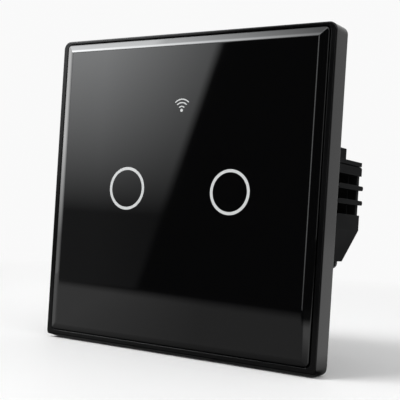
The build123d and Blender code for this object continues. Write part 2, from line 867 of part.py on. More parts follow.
# Rear cover: the vented shell. Each side has a recessed bay with windows between round-ended ribs
vent_pitch = vent_gap + rib_thickness
vent_high = vent_low + vent_count * vent_gap + (vent_count - 1) * rib_thickness
vent_middle = (vent_low + vent_high) / 2
bay_half_width = shell_half_width - vent_recess
with BuildPart() as rear_cover:
    with BuildSketch(layer(shell_back)):
        shell_outline(0)
    extrude(amount=shell_back - body_back)
    fillet(rear_cover.faces().sort_by(Axis.Y)[-1].edges(), shell_edge)
    with BuildSketch(layer(shell_back - shell_back_wall)):
        shell_outline(shell_wall)
    extrude(amount=shell_back - shell_back_wall - body_back - body_back_wall, mode=Mode.SUBTRACT)
    with BuildSketch(layer(body_back + body_back_wall + overrun)):
        with Locations((0, (window_low + window_high) / 2)):
            RectangleRounded(2 * window_half_width, window_high - window_low, window_corner)
    extrude(amount=body_back_wall + 2 * overrun, mode=Mode.SUBTRACT)
    for side in (-1, 1):
        with BuildSketch(Plane.YZ.offset(side * bay_half_width)):
            with Locations(((vent_front + shell_back + overrun) / 2, vent_middle)):
                Rectangle(shell_back + overrun - vent_front, vent_high - vent_low)
        extrude(amount=side * (vent_recess + overrun), mode=Mode.SUBTRACT)
        with BuildSketch(Plane.YZ.offset(side * (bay_half_width + overrun))):
            with Locations(((vent_window_front + vent_window_back) / 2, vent_middle)):
                with GridLocations(vent_pitch, vent_pitch, 1, vent_count):
                    Rectangle(vent_window_back - vent_window_front, vent_gap)
        extrude(amount=-side * (shell_wall + 2 * overrun), mode=Mode.SUBTRACT)
        with BuildSketch(Plane.YZ.offset(side * bay_half_width)):
            with Locations(((vent_front + shell_back) / 2, vent_middle)):
                with GridLocations(vent_pitch, vent_pitch, 1, vent_count - 1):
                    SlotOverall(shell_back - vent_front, rib_thickness)
        extrude(amount=side * (vent_recess + rib_proud))
    with BuildSketch(layer(shell_back + overrun)):
        with Locations((0, rear_vent_height)):
            with GridLocations(rear_vent_pitch, rear_vent_pitch, rear_vent_count, 1):
                SlotOverall(rear_vent_length, rear_vent_width, rotation=90)
    extrude(amount=shell_back_wall + 2 * overrun, mode=Mode.SUBTRACT)
    with BuildSketch(layer(lug_back)):
        with Locations(*lug_places):
            Circle(lug_radius)
    extrude(amount=lug_back - body_back)
    with BuildSketch(layer(lug_back + overrun)):
        with Locations(*lug_places):
            Circle(cover_screw_radius + screw_pass)
    extrude(amount=lug_back - body_back + 2 * overrun, mode=Mode.SUBTRACT)
    with BuildSketch(layer(shell_back + overrun)):
        with Locations(*lug_places):
            Circle(lug_radius + screw_pass)
    extrude(amount=lug_set_back + overrun, mode=Mode.SUBTRACT)
save(rear_cover, "rear_cover")

cover_screws = pan_screws(
    lug_places,
    lug_back + cover_screw_head,
    lug_radius,
    cover_screw_head,
    cover_screw_radius,
    cover_screw_length,
)
save(cover_screws, "cover_screws")

# Terminal housing: a flange on the rear cover's top and a block with four chambers
with BuildPart() as terminal_housing:
    with BuildSketch(layer(shell_back)):
        with Locations((0, (flange_low + flange_high) / 2)):
            Rectangle(2 * shell_half_width, terminal_flange)
    extrude(amount=shell_back - body_back)
    rear_corners = terminal_housing.edges().filter_by(Axis.Z).group_by(Axis.Y)[-1]
    fillet(rear_corners, terminal_edge)
    with BuildSketch(layer(terminal_back)):
        with Locations((0, (flange_low + shoulder_top) / 2)):
            Rectangle(2 * shoulder_half_width, shoulder_top - flange_low)
        with Locations((0, (flange_low + block_high) / 2)):
            Rectangle(2 * block_half_width, block_high - flange_low)
    extrude(amount=terminal_back - body_back)
    with BuildSketch(layer(terminal_back - terminal_wall)):
        with Locations(*[(x, (chamber_low + chamber_high) / 2) for x in terminal_places]):
            Rectangle(chamber_width, chamber_high - chamber_low)
    extrude(amount=terminal_back - terminal_wall - body_back, mode=Mode.SUBTRACT)
    with BuildSketch(Plane.XY.offset(chamber_high - overrun)):
        with Locations(*[(x, wire_center) for x in terminal_places]):
            Circle(wire_radius)
    extrude(amount=terminal_wall + 2 * overrun, mode=Mode.SUBTRACT)
    with BuildSketch(layer(terminal_back + overrun)):
        with Locations(*[(x, clamp_middle) for x in terminal_places]):
            Circle(access_radius)
    extrude(amount=terminal_wall + 2 * overrun, mode=Mode.SUBTRACT)
save(terminal_housing, "terminal_housing")

# Current bars: each has a leg on the board and a plate that the wire is pressed against
with BuildPart() as current_bars:
    with BuildSketch(layer(bar_back)):
        with Locations(*[(x, bar_low + bar_leg / 2) for x in terminal_places]):
            Rectangle(bar_width, bar_leg)
    extrude(amount=bar_back - power_board_back)
    with BuildSketch(layer(bar_back)):
        with Locations(*[(x, (bar_low + bar_high) / 2) for x in terminal_places]):
            Rectangle(bar_width, bar_high - bar_low)
    extrude(amount=bar_thickness)
save(current_bars, "current_bars")

# Clamp cages and their screws
for number, x in enumerate(terminal_places, start=1):
    with BuildPart() as terminal_clamp:
        with BuildSketch(layer(clamp_back)):
            with Locations((x, clamp_middle)):
                Rectangle(clamp_width, clamp_high - clamp_low)
        extrude(amount=clamp_back - clamp_front)
        with BuildSketch(layer(clamp_back - clamp_nut)):
            with Locations((x, clamp_middle)):
                Rectangle(clamp_width - 2 * clamp_cheek, clamp_high - clamp_low + overrun)
        extrude(amount=clamp_opening, mode=Mode.SUBTRACT)
        with BuildSketch(layer(clamp_back + overrun)):
            with Locations((x, clamp_middle)):
                Circle(terminal_screw_radius + clamp_fit)
        extrude(amount=clamp_nut + 2 * overrun, mode=Mode.SUBTRACT)
    save(terminal_clamp, f"terminal_clamp_{number}")

    screw_length = terminal_head_front - bar_back - tip_gap
    terminal_screw = pan_screws(
        [(x, clamp_middle)],
        terminal_head_front + terminal_head_height,
        terminal_head_radius,
        terminal_head_height,
        terminal_screw_radius,
        screw_length,
    )
    save(terminal_screw, f"terminal_screw_{number}")

# Power board, notched round the bosses of the rear cover's screws
with BuildPart() as power_board:
    with BuildSketch(layer(power_board_back)):
        body_outline(body_wall + power_board_edge)
        with Locations(*lug_places):
            Circle(boss_radius + board_notch, mode=Mode.SUBTRACT)
        with Locations(*board_screw_places):
            Circle(small_screw_radius + screw_pass, mode=Mode.SUBTRACT)
    extrude(amount=board_thickness)
save(power_board, "power_board")

# Screws that hold the power board, entered from the front
with BuildPart() as board_screws:
    with BuildSketch(layer(power_board_front)):
        with Locations(*board_screw_places):
            Circle(small_head_radius)
    extrude(amount=small_head_height)
    with BuildSketch(layer(power_board_front + board_screw_length)):
        with Locations(*board_screw_places):
            Circle(small_screw_radius)
    extrude(amount=board_screw_length)
save(board_screws, "board_screws")

# Socket for the plug
with BuildPart() as header_socket:
    with BuildSketch(layer(power_board_front)):
        with Locations(plug_place):
            Rectangle(plug_width + socket_margin, plug_length + socket_margin)
    extrude(amount=socket_height)
    with BuildSketch(layer(power_board_front - socket_floor)):
        with Locations(plug_place):
            with GridLocations(pin_pitch, pin_pitch, pin_columns, pin_rows):
                Rectangle(socket_hole, socket_hole)
    extrude(amount=socket_height, mode=Mode.SUBTRACT)
save(header_socket, "header_socket")


def standing(height):
    """Sketch plane at a height above the power board's rear face, for parts that stand on it."""
    return layer(power_board_back + height)


# Relays
for side, x in relay_places.items():
    with BuildPart() as relay_case:
        with BuildSketch(standing(relay_height)):
            with Locations((x, relay_center)):
                Rectangle(relay_width, relay_length)
        extrude(amount=relay_height - relay_lift)
        fillet(relay_case.edges().filter_by(Axis.Y), relay_round)
        with BuildSketch(standing(relay_height - relay_skin)):
            with Locations((x, relay_center)):
                Rectangle(relay_width - 2 * relay_skin, relay_length - 2 * relay_skin)
        extrude(amount=relay_height, mode=Mode.SUBTRACT)
    save(relay_case, f"relay_case_{side}")

    with BuildPart() as relay_base:
        with BuildSketch(standing(relay_base_height)):
            with Locations((x, relay_center)):
                play = 2 * (relay_skin + relay_base_gap)
                Rectangle(relay_width - play, relay_length - play)
        extrude(amount=relay_base_height)
    save(relay_base, f"relay_base_{side}")

    yoke_floor = relay_base_height + yoke_thickness
    with BuildPart() as relay_yoke:
        with BuildSketch(standing(yoke_floor)):
            with Locations((x, relay_center + (yoke_front + yoke_rear) / 2)):
                Rectangle(yoke_width, yoke_rear - yoke_front)
        extrude(amount=yoke_thickness)
        with BuildSketch(standing(yoke_top)):
            with Locations((x, relay_center + yoke_front + yoke_thickness / 2)):
                Rectangle(yoke_width, yoke_thickness)
        extrude(amount=yoke_top - yoke_floor)
        fillet(relay_yoke.faces().sort_by(Axis.Y)[-1].edges().filter_by(Axis.X), yoke_round)
        with BuildSketch(standing(pole_top)):
            with Locations((x, relay_center + coil_place)):
                Circle(core_radius)
        extrude(amount=pole_top - yoke_floor)
        with BuildSketch(standing(pole_top)):
            with Locations((x, relay_center + coil_place)):
                Circle(pole_radius)
        extrude(amount=pole_height)
    save(relay_yoke, f"relay_yoke_{side}")

    bobbin_top = pole_top - pole_height
    with BuildPart() as relay_bobbin:
        for top in (yoke_floor + bobbin_flange, bobbin_top):
            with BuildSketch(standing(top)):
                with Locations((x, relay_center + coil_place)):
                    Circle(bobbin_radius)
            extrude(amount=bobbin_flange)
        with BuildSketch(standing(bobbin_top)):
            with Locations((x, relay_center + coil_place)):
                Circle(core_radius + bobbin_fit + bobbin_sleeve)
        extrude(amount=bobbin_top - yoke_floor)
        with BuildSketch(standing(bobbin_top)):
            with Locations((x, relay_center + coil_place)):
                Circle(core_radius + bobbin_fit)
        extrude(amount=bobbin_top - yoke_floor, mode=Mode.SUBTRACT)
    save(relay_bobbin, f"relay_bobbin_{side}")

    with BuildPart() as relay_coil:
        with BuildSketch(standing(bobbin_top - bobbin_flange - coil_fit)):
            with Locations((x, relay_center + coil_place)):
                Circle(coil_radius)
                Circle(core_radius + bobbin_fit + bobbin_sleeve + coil_fit, mode=Mode.SUBTRACT)
        extrude(amount=bobbin_top - yoke_floor - 2 * (bobbin_flange + coil_fit))
    save(relay_coil, f"relay_coil_{side}")

    with BuildPart() as relay_armature:
        with BuildSketch(standing(armature_low + armature_thickness)):
            with Locations((x, relay_center + (armature_front + armature_rear) / 2)):
                Rectangle(armature_width, armature_rear - armature_front)
        extrude(amount=armature_thickness)
        with BuildSketch(standing(armature_low + leaf_thickness)):
            with Locations((x, relay_center + (leaf_front + leaf_rear) / 2)):
                Rectangle(leaf_width, leaf_rear - leaf_front)
        extrude(amount=leaf_thickness)
        with BuildSketch(standing(armature_low)):
            with Locations((x, relay_center + contact_place)):
                Circle(contact_radius)
        extrude(amount=contact_height)
    save(relay_armature, f"relay_armature_{side}")

    with BuildPart() as relay_contact:
        with BuildSketch(standing(fixed_top)):
            with Locations((x, relay_center + contact_place)):
                Circle(contact_radius)
        extrude(amount=post_button)
        with BuildSketch(standing(fixed_top - post_button)):
            with Locations((x, relay_center + contact_place)):
                Rectangle(post_width, post_thickness)
        extrude(amount=fixed_top - post_button - relay_base_height)
    save(relay_contact, f"relay_contact_{side}")

# Transformer: a ferrite core with two windows, its bobbin and its winding
leg_window = (core_width - core_leg - 2 * core_limb) / 2
window_length = core_length - 2 * core_yoke
core_middle = power_board_back + core_lift + core_thickness / 2
with BuildPart() as transformer_core:
    with BuildSketch(layer(core_middle + core_thickness / 2)):
        with Locations(transformer_place):
            Rectangle(core_width, core_length)
            with GridLocations(core_leg + leg_window, core_leg + leg_window, 2, 1):
                Rectangle(leg_window, window_length, mode=Mode.SUBTRACT)
    extrude(amount=core_thickness)
save(transformer_core, "transformer_core")

sleeve_inner_x = core_leg + 2 * sleeve_fit
sleeve_inner_y = core_thickness + 2 * sleeve_fit
sleeve_outer_x = sleeve_inner_x + 2 * sleeve_wall
sleeve_outer_y = sleeve_inner_y + 2 * sleeve_wall
sleeve_length = window_length - 2 * sleeve_fit
sleeve_plane = Plane.XY.offset(transformer_place[1] - sleeve_length / 2)
with BuildPart() as transformer_bobbin:
    with BuildSketch(sleeve_plane):
        with Locations((transformer_place[0], core_middle)):
            Rectangle(sleeve_outer_x, sleeve_outer_y)
    extrude(amount=sleeve_length)
    for lift in (0, sleeve_length - flange_plate):
        with BuildSketch(sleeve_plane.offset(lift)):
            with Locations((transformer_place[0], core_middle)):
                Rectangle(winding_width, winding_depth)
        extrude(amount=flange_plate)
    with BuildSketch(sleeve_plane.offset(-overrun)):
        with Locations((transformer_place[0], core_middle)):
            Rectangle(sleeve_inner_x, sleeve_inner_y)
    extrude(amount=sleeve_length + 2 * overrun, mode=Mode.SUBTRACT)
    with BuildSketch(standing(bobbin_base)):
        with Locations(transformer_place):
            Rectangle(core_width, core_length)
    extrude(amount=bobbin_base)
    flange_front = core_lift + (core_thickness - winding_depth) / 2
    flange_offset = (sleeve_length - flange_plate) / 2
    with BuildSketch(standing(flange_front + flange_plate)):
        with Locations(*[(transformer_x, transformer_place[1] + s * flange_offset) for s in (-1, 1)]):
            Rectangle(winding_width, flange_plate)
    extrude(amount=flange_front + flange_plate - bobbin_base)
save(transformer_bobbin, "transformer_bobbin")

with BuildPart() as transformer_winding:
    with BuildSketch(sleeve_plane.offset(flange_plate + coil_fit)):
        with Locations((transformer_place[0], core_middle)):
            RectangleRounded(winding_width - 2 * coil_fit, winding_depth - 2 * coil_fit, winding_round)
            Rectangle(sleeve_outer_x + 2 * coil_fit, sleeve_outer_y + 2 * coil_fit, mode=Mode.SUBTRACT)
    extrude(amount=sleeve_length - 2 * (flange_plate + coil_fit))
save(transformer_winding, "transformer_winding")

# Input capacitor: a can with a crimped groove
with BuildPart() as input_capacitor:
    with BuildSketch(standing(input_can_height)):
        with Locations(input_can_place):
            Circle(input_can_radius)
    extrude(amount=input_can_height)
    fillet(input_capacitor.faces().sort_by(Axis.Y)[-1].edges(), can_round)
    with BuildSketch(standing(can_groove_height + can_groove)):
        with Locations(input_can_place):
            Circle(input_can_radius + overrun)
            Circle(input_can_radius - can_groove, mode=Mode.SUBTRACT)
    extrude(amount=can_groove, mode=Mode.SUBTRACT)
save(input_capacitor, "input_capacitor")

with BuildPart() as film_capacitor:
    with BuildSketch(standing(film_height)):
        with Locations(film_place):
            RectangleRounded(film_width, film_length, film_round)
    extrude(amount=film_height)
save(film_capacitor, "film_capacitor")

# Varistor: a disc on two leads
with BuildPart() as varistor:
    disc_middle = power_board_back + varistor_lift + varistor_radius
    with BuildSketch(Plane.XY.offset(varistor_place[1] - varistor_thickness / 2)):
        with Locations((varistor_place[0], disc_middle)):
            Circle(varistor_radius)
    extrude(amount=varistor_thickness)
    with BuildSketch(standing(varistor_lift + varistor_radius)):
        with Locations(*[(can_x + s * lead_spacing / 2, varistor_place[1]) for s in (-1, 1)]):
            Circle(lead_radius)
    extrude(amount=varistor_lift + varistor_radius)
save(varistor, "varistor")

# Fuse resistor: a lying body on two bent leads
with BuildPart() as fuse_resistor:
    fuse_left = fuse_place[0] - fuse_length / 2
    with BuildSketch(Plane.YZ.offset(fuse_left)):
        with Locations((power_board_back + fuse_lift, fuse_place[1])):
            Circle(fuse_radius)
    extrude(amount=fuse_length)
    with BuildSketch(Plane.YZ.offset(fuse_left - fuse_lead_reach)):
        with Locations((power_board_back + fuse_lift, fuse_place[1])):
            Rectangle(2 * lead_radius, 2 * lead_radius)
    extrude(amount=fuse_length + 2 * fuse_lead_reach)
    lead_places = (fuse_left - fuse_lead_reach, fuse_left + fuse_length + fuse_lead_reach)
    with BuildSketch(standing(fuse_lift + lead_radius)):
        with Locations(*[(place, fuse_place[1]) for place in lead_places]):
            Rectangle(2 * lead_radius, 2 * lead_radius)
    extrude(amount=fuse_lift + lead_radius)
save(fuse_resistor, "fuse_resistor")


def gull_wing_chip(place, width, length, height):
    """Flat package with legs on two sides, on the power board's front face."""
    with BuildPart() as chip:
        with BuildSketch(layer(power_board_front)):
            with Locations(place):
                Rectangle(width, length)
        extrude(amount=height)
        with BuildSketch(layer(power_board_front)):
            with Locations(place):
                with GridLocations(leg_pitch, leg_pitch, leg_count, 1):
                    Rectangle(leg_width, length + 2 * leg_reach)
        extrude(amount=leg_height)
    return chip


save(gull_wing_chip(rectifier_place, rectifier_width, rectifier_length, rectifier_height), "bridge_rectifier")
save(gull_wing_chip(regulator_place, regulator_width, regulator_length, regulator_height), "regulator_chip")

# Output capacitor: a can that lies on the power board's front face
with BuildPart() as output_capacitor:
    with BuildSketch(Plane.YZ.offset(output_can_place[0] - output_can_length / 2)):
        with Locations((power_board_front - output_can_radius, output_can_place[1])):
            Circle(output_can_radius)
    extrude(amount=output_can_length)
save(output_capacitor, "output_capacitor")

# Filter choke: a drum with a narrow waist
with BuildPart() as filter_choke:
    with BuildSketch(layer(power_board_front)):
        with Locations(choke_place):
            Circle(choke_waist)
    extrude(amount=choke_height)
    for rear in (power_board_front, power_board_front - choke_height + choke_flange):
        with BuildSketch(layer(rear)):
            with Locations(choke_place):
                Circle(choke_radius)
        extrude(amount=choke_flange)
save(filter_choke, "filter_choke")
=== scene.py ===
"""Looks of a two-gang touch light switch: black glass, satin plastics, plated metal and lit marks."""

import json
import logging
import math
from collections.abc import Sequence
from dataclasses import dataclass
from enum import Enum
from functools import reduce

import bmesh
import bpy
import numpy as np
from mathutils import Matrix, Vector

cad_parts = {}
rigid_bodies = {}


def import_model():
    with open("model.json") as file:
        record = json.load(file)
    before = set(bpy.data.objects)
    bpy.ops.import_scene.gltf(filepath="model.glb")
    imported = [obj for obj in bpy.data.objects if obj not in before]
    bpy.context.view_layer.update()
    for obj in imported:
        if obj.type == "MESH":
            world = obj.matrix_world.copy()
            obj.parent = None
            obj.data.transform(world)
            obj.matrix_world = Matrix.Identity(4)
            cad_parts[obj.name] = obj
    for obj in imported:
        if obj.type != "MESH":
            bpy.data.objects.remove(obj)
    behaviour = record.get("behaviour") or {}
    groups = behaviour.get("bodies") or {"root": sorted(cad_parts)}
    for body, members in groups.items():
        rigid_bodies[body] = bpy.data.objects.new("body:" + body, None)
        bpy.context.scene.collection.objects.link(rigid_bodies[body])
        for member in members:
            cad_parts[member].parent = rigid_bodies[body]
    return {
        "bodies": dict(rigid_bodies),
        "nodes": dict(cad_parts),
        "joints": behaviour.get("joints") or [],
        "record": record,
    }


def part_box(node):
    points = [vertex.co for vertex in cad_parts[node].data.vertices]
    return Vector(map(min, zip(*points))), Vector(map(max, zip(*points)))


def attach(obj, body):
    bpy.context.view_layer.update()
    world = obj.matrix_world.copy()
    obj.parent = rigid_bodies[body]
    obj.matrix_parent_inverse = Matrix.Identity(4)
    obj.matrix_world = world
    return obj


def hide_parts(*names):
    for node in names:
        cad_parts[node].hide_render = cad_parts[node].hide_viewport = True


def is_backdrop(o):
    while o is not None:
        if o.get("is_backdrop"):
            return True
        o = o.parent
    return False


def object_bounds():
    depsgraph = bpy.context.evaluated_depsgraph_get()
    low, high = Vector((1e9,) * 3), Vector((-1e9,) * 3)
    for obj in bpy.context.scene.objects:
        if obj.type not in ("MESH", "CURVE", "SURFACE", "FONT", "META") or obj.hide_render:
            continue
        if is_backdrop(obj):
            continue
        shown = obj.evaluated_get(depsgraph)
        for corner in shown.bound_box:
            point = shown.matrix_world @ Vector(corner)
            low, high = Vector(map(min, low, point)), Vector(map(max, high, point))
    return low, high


LOG = logging.getLogger("touch_switch")
MM = 0.001
MICRON = 0.000001
TURN = 2 * math.pi
SHARP_ANGLE = math.radians(38)
Array = np.ndarray
Place = tuple[float, float]
Point = tuple[float, float, float]
Colour = Point
Node, Socket, Tree = bpy.types.Node, bpy.types.NodeSocket, bpy.types.NodeTree
Object, Material, Sockets = bpy.types.Object, bpy.types.Material, bpy.types.bpy_prop_collection


class Body(Enum):
    """The bodies of the frame that new pieces ride on."""

    WALL = "wall_unit"
    FRONT = "front_unit"


class Ray(Enum):
    """Kinds of ray that a stage piece can be shown to."""

    CAMERA = "visible_camera"
    DIFFUSE = "visible_diffuse"
    GLOSSY = "visible_glossy"
    TRANSMISSION = "visible_transmission"
    SHADOW = "visible_shadow"


# Meshes worked out on grids


def lay_grid(name: str, points: Array, closed_u: bool = True, closed_v: bool = True) -> Object:
    """Mesh object whose faces are the cells of a grid of points.

    Cell (i, j) is the quad between points (i, j), (i + 1, j), (i + 1, j + 1) and (i, j + 1); a closed
    direction wraps round to its start.

    Args:
        name: The piece's name.
        points: Grid of points in metres, of shape (u, v, 3).
        closed_u: Whether the last row joins the first.
        closed_v: Whether the last column joins the first.

    Returns:
        The object, linked to the scene.
    """
    rows, columns = points.shape[:2]
    u, v = np.meshgrid(
        np.arange(rows if closed_u else rows - 1),
        np.arange(columns if closed_v else columns - 1),
        indexing="ij",
    )
    next_u, next_v = (u + 1) % rows, (v + 1) % columns
    corners = (u * columns + v, next_u * columns + v, next_u * columns + next_v, u * columns + next_v)
    quads = np.stack(corners, axis=-1).reshape(-1, 4)
    return new_piece(name, points.reshape(-1, 3), quads.tolist())


def new_piece(name: str, points: Array, faces: Sequence[Sequence[int]]) -> Object:
    """Object from points and faces, with doubles merged, normals outwards and sharp edges kept.

    Args:
        name: The piece's name.
        points: Points in metres, of shape (n, 3).
        faces: Corner indices of each face.

    Returns:
        The object, linked to the scene.
    """
    mesh = bpy.data.meshes.new(name)
    mesh.from_pydata(points.tolist(), [], faces)
    shell = bmesh.new()
    shell.from_mesh(mesh)
    bmesh.ops.remove_doubles(shell, verts=shell.verts, dist=MICRON)
    bmesh.ops.dissolve_degenerate(shell, edges=shell.edges, dist=MICRON)
    bmesh.ops.recalc_face_normals(shell, faces=shell.faces)
    shell.to_mesh(mesh)
    shell.free()
    mesh.shade_smooth()
    mesh.set_sharp_from_angle(angle=SHARP_ANGLE)
    return add_object(name, mesh)


def add_object(name: str, data: bpy.types.ID) -> Object:
    """Object that is linked to the scene."""
    made = bpy.data.objects.new(name, data)
    bpy.context.scene.collection.objects.link(made)
    return made


def front_points(x: Array, z: Array, depth: Array) -> Array:
    """Points of a piece seen from the front, from three arrays in millimetres."""
    return np.stack(np.broadcast_arrays(x, depth, z), axis=-1) * MM


def turned_points(centre: Sequence[Array | float], reach: Array, angle: Array, depth: Array) -> Array:
    """Points at a reach and an angle round a centre, seen from the front, in millimetres."""
    return front_points(centre[0] + reach * np.cos(angle), centre[1] + reach * np.sin(angle), depth)


def bar_profile(half: Array, front: float, back: float) -> tuple[Array, Array]:
    """Four corners of a flat bar's section: side offsets (half widths, both signs) and depths."""
    side = np.array([-1.0, 1.0, 1.0, -1.0])
    depth = np.array([back, back, front, front])
    return half[..., None] * side, depth


# Node trees


class Sheet:
    """A node tree with short calls that add nodes and join them."""

    def __init__(self, tree: Tree) -> None:
        """Start from an empty tree."""
        tree.nodes.clear()
        self.tree = tree

    def node(self, kind: str, feeds: dict | None = None, **settings: object) -> Node:
        """Add a node.

        Args:
            kind: The node's type, without the ShaderNode prefix.
            feeds: Value or socket for each input, by name or number.
            **settings: Attributes of the node.

        Returns:
            The node.
        """
        prefix = "" if kind.startswith("NodeGroup") else "ShaderNode"
        made = self.tree.nodes.new(prefix + kind)
        for key, value in settings.items():
            setattr(made, key, value)
        self.feed(made, feeds or {})
        return made

    def feed(self, node: Node, feeds: dict) -> None:
        """Give inputs of a node their plain values and links.

        Args:
            node: The node.
            feeds: Value or socket for each input, by name or number.
        """
        for key, value in feeds.items():
            if isinstance(value, Socket):
                self.tree.links.new(value, node.inputs[key])
            else:
                node.inputs[key].default_value = value

    def math(self, operation: str, *terms: object, clamp: bool = False) -> Socket:
        """Result of a Math node on up to three terms."""
        feeds = dict(enumerate(terms))
        return self.node("Math", feeds, operation=operation, use_clamp=clamp).outputs[0]

    def product(self, *terms: object) -> Socket:
        """All terms multiplied."""
        return reduce(lambda done, term: self.math("MULTIPLY", done, term), terms)

    def total(self, *terms: object) -> object:
        """Sum of all terms; a single term is given back as it is."""
        return reduce(lambda done, term: self.math("ADD", done, term), terms)

    def spread(self, value: object, low: float, high: float, to: Place = (0.0, 1.0)) -> Socket:
        """Value mapped from low..high to the two ends of to, held at its ends."""
        feeds = {"Value": value, "From Min": low, "From Max": high, "To Min": to[0], "To Max": to[1]}
        return self.node("MapRange", feeds).outputs[0]

    def blend(self, share: object, first: object, second: object) -> Socket:
        """Colour mixed from first to second by a share."""
        feeds = {0: share, 6: first, 7: second}
        return self.node("Mix", feeds, data_type="RGBA").outputs[2]

    def noise(self, vector: object, scale: object, detail: float = 2.0) -> Socket:
        """Value of a noise texture."""
        return self.node("TexNoise", {"Vector": vector, "Scale": scale, "Detail": detail}).outputs[0]

    def object_place(self) -> Socket:
        """Object coordinates, in metres."""
        return self.node("TexCoord").outputs["Object"]


class Effect:
    """A shader node group with named inputs and outputs."""

    def __init__(self, name: str, takes: dict[str, str], gives: dict[str, str]) -> None:
        """Make the group's sockets and its two end nodes.

        Args:
            name: The group's name.
            takes: Kind of each input, by name.
            gives: Kind of each output, by name.
        """
        self.tree = bpy.data.node_groups.new(name, "ShaderNodeTree")
        for side, sockets in (("INPUT", takes), ("OUTPUT", gives)):
            for title, kind in sockets.items():
                self.tree.interface.new_socket(title, in_out=side, socket_type=f"NodeSocket{kind}")
        self.sheet = Sheet(self.tree)
        self.inside = self.sheet.node("NodeGroupInput").outputs
        self.outside = self.sheet.node("NodeGroupOutput").inputs

    def give(self, title: str, socket: Socket) -> None:
        """Send a socket out of the group."""
        self.tree.links.new(socket, self.outside[title])


TEXTURE = {"Vector": "Vector", "Scale": "Float"}


def grain_effect() -> Effect:
    """Spark-eroded grain: two sizes of noise added, and a mask of its lighter flecks."""
    effect = Effect("spark_eroded_grain", TEXTURE, {"Height": "Float", "Fleck": "Float"})
    sheet, takes = effect.sheet, effect.inside
    coarse = sheet.noise(takes["Vector"], takes["Scale"], 3.0)
    fine = sheet.noise(takes["Vector"], sheet.math("MULTIPLY", takes["Scale"], 2.7), 2.0)
    height = sheet.math("MULTIPLY_ADD", fine, 0.5, coarse)
    effect.give("Height", height)
    effect.give("Fleck", sheet.spread(fine, 0.55, 0.75))
    return effect


def edge_effect() -> Effect:
    """Edges: where the rounded normal leaves the flat one, a mask rises from 0 to 1; the finishes use it for
    wear and for painted edge highlights.
    """
    effect = Effect("edge_wear_and_highlight", {"Radius": "Float"}, {"Edge": "Float", "Normal": "Vector"})
    sheet = effect.sheet
    rounded = sheet.node("Bevel", {"Radius": effect.inside["Radius"]}, samples=8).outputs[0]
    flat = sheet.node("NewGeometry").outputs["Normal"]
    likeness = sheet.node("VectorMath", {0: rounded, 1: flat}, operation="DOT_PRODUCT").outputs["Value"]
    effect.give("Edge", sheet.spread(likeness, 0.995, 0.86))
    effect.give("Normal", rounded)
    return effect


def handling_effect() -> Effect:
    """Faint unevenness left by moulding and handling: slow noise that varies the gloss."""
    effect = Effect("handling", TEXTURE, {"Value": "Float"})
    sheet, takes = effect.sheet, effect.inside
    slow = sheet.noise(takes["Vector"], takes["Scale"], 4.0)
    effect.give("Value", sheet.spread(slow, 0.3, 0.7))
    return effect


def brushed_effect() -> Effect:
    """Rolled and plated sheet: noise stretched along X, with a finer speckle."""
    takes = {"Vector": "Vector", "Stretch": "Vector"}
    effect = Effect("rolled_sheet", takes, {"Height": "Float", "Tone": "Float"})
    sheet, takes = effect.sheet, effect.inside
    drawn = sheet.node("VectorMath", {0: takes["Vector"], 1: takes["Stretch"]}, operation="MULTIPLY")
    lines = sheet.noise(drawn.outputs[0], 1.0, 3.0)
    cloud = sheet.noise(takes["Vector"], 260.0, 3.0)
    effect.give("Height", lines)
    effect.give("Tone", sheet.math("MULTIPLY_ADD", cloud, 0.6, sheet.math("MULTIPLY", lines, 0.4)))
    return effect


def copper_effect() -> Effect:
    """Circuit board: copper areas and tracks under the mask, with tinned holes.

    Cells with squared distances make the copper areas, the gaps between them are bare, and small cells
    give the holes.
    """
    effect = Effect("board_copper", TEXTURE, {"Copper": "Float", "Hole": "Float"})
    sheet, takes = effect.sheet, effect.inside
    feeds = {"Vector": takes["Vector"], "Scale": takes["Scale"], "Randomness": 0.85}
    near = sheet.node("TexVoronoi", feeds, distance="CHEBYCHEV", feature="F1").outputs["Distance"]
    next_near = sheet.node("TexVoronoi", feeds, distance="CHEBYCHEV", feature="F2").outputs["Distance"]
    gap = sheet.math("SUBTRACT", next_near, near)
    effect.give("Copper", sheet.spread(gap, 0.03, 0.06))
    dense = {"Vector": takes["Vector"], "Scale": sheet.product(takes["Scale"], 1.6), "Randomness": 0.7}
    dot = sheet.node("TexVoronoi", dense, feature="F1").outputs["Distance"]
    effect.give("Hole", sheet.spread(dot, 0.11, 0.09))
    return effect


class Effects:
    """The node groups that the finishes share, each made once."""

    def __init__(self) -> None:
        """Make every group."""
        self.grain = grain_effect().tree
        self.edge = edge_effect().tree
        self.handling = handling_effect().tree
        self.rolled = brushed_effect().tree
        self.copper = copper_effect().tree


def blank_material(name: str) -> tuple[Material, Sheet]:
    """Material with an empty tree, and its sheet."""
    material = bpy.data.materials.new(name)
    material.use_nodes = True
    return material, Sheet(material.node_tree)


def opaque(colour: Colour, level: float = 1.0) -> tuple[float, ...]:
    """Value of a colour socket: a colour times a level, fully opaque."""
    return (*(part * level for part in colour), 1.0)


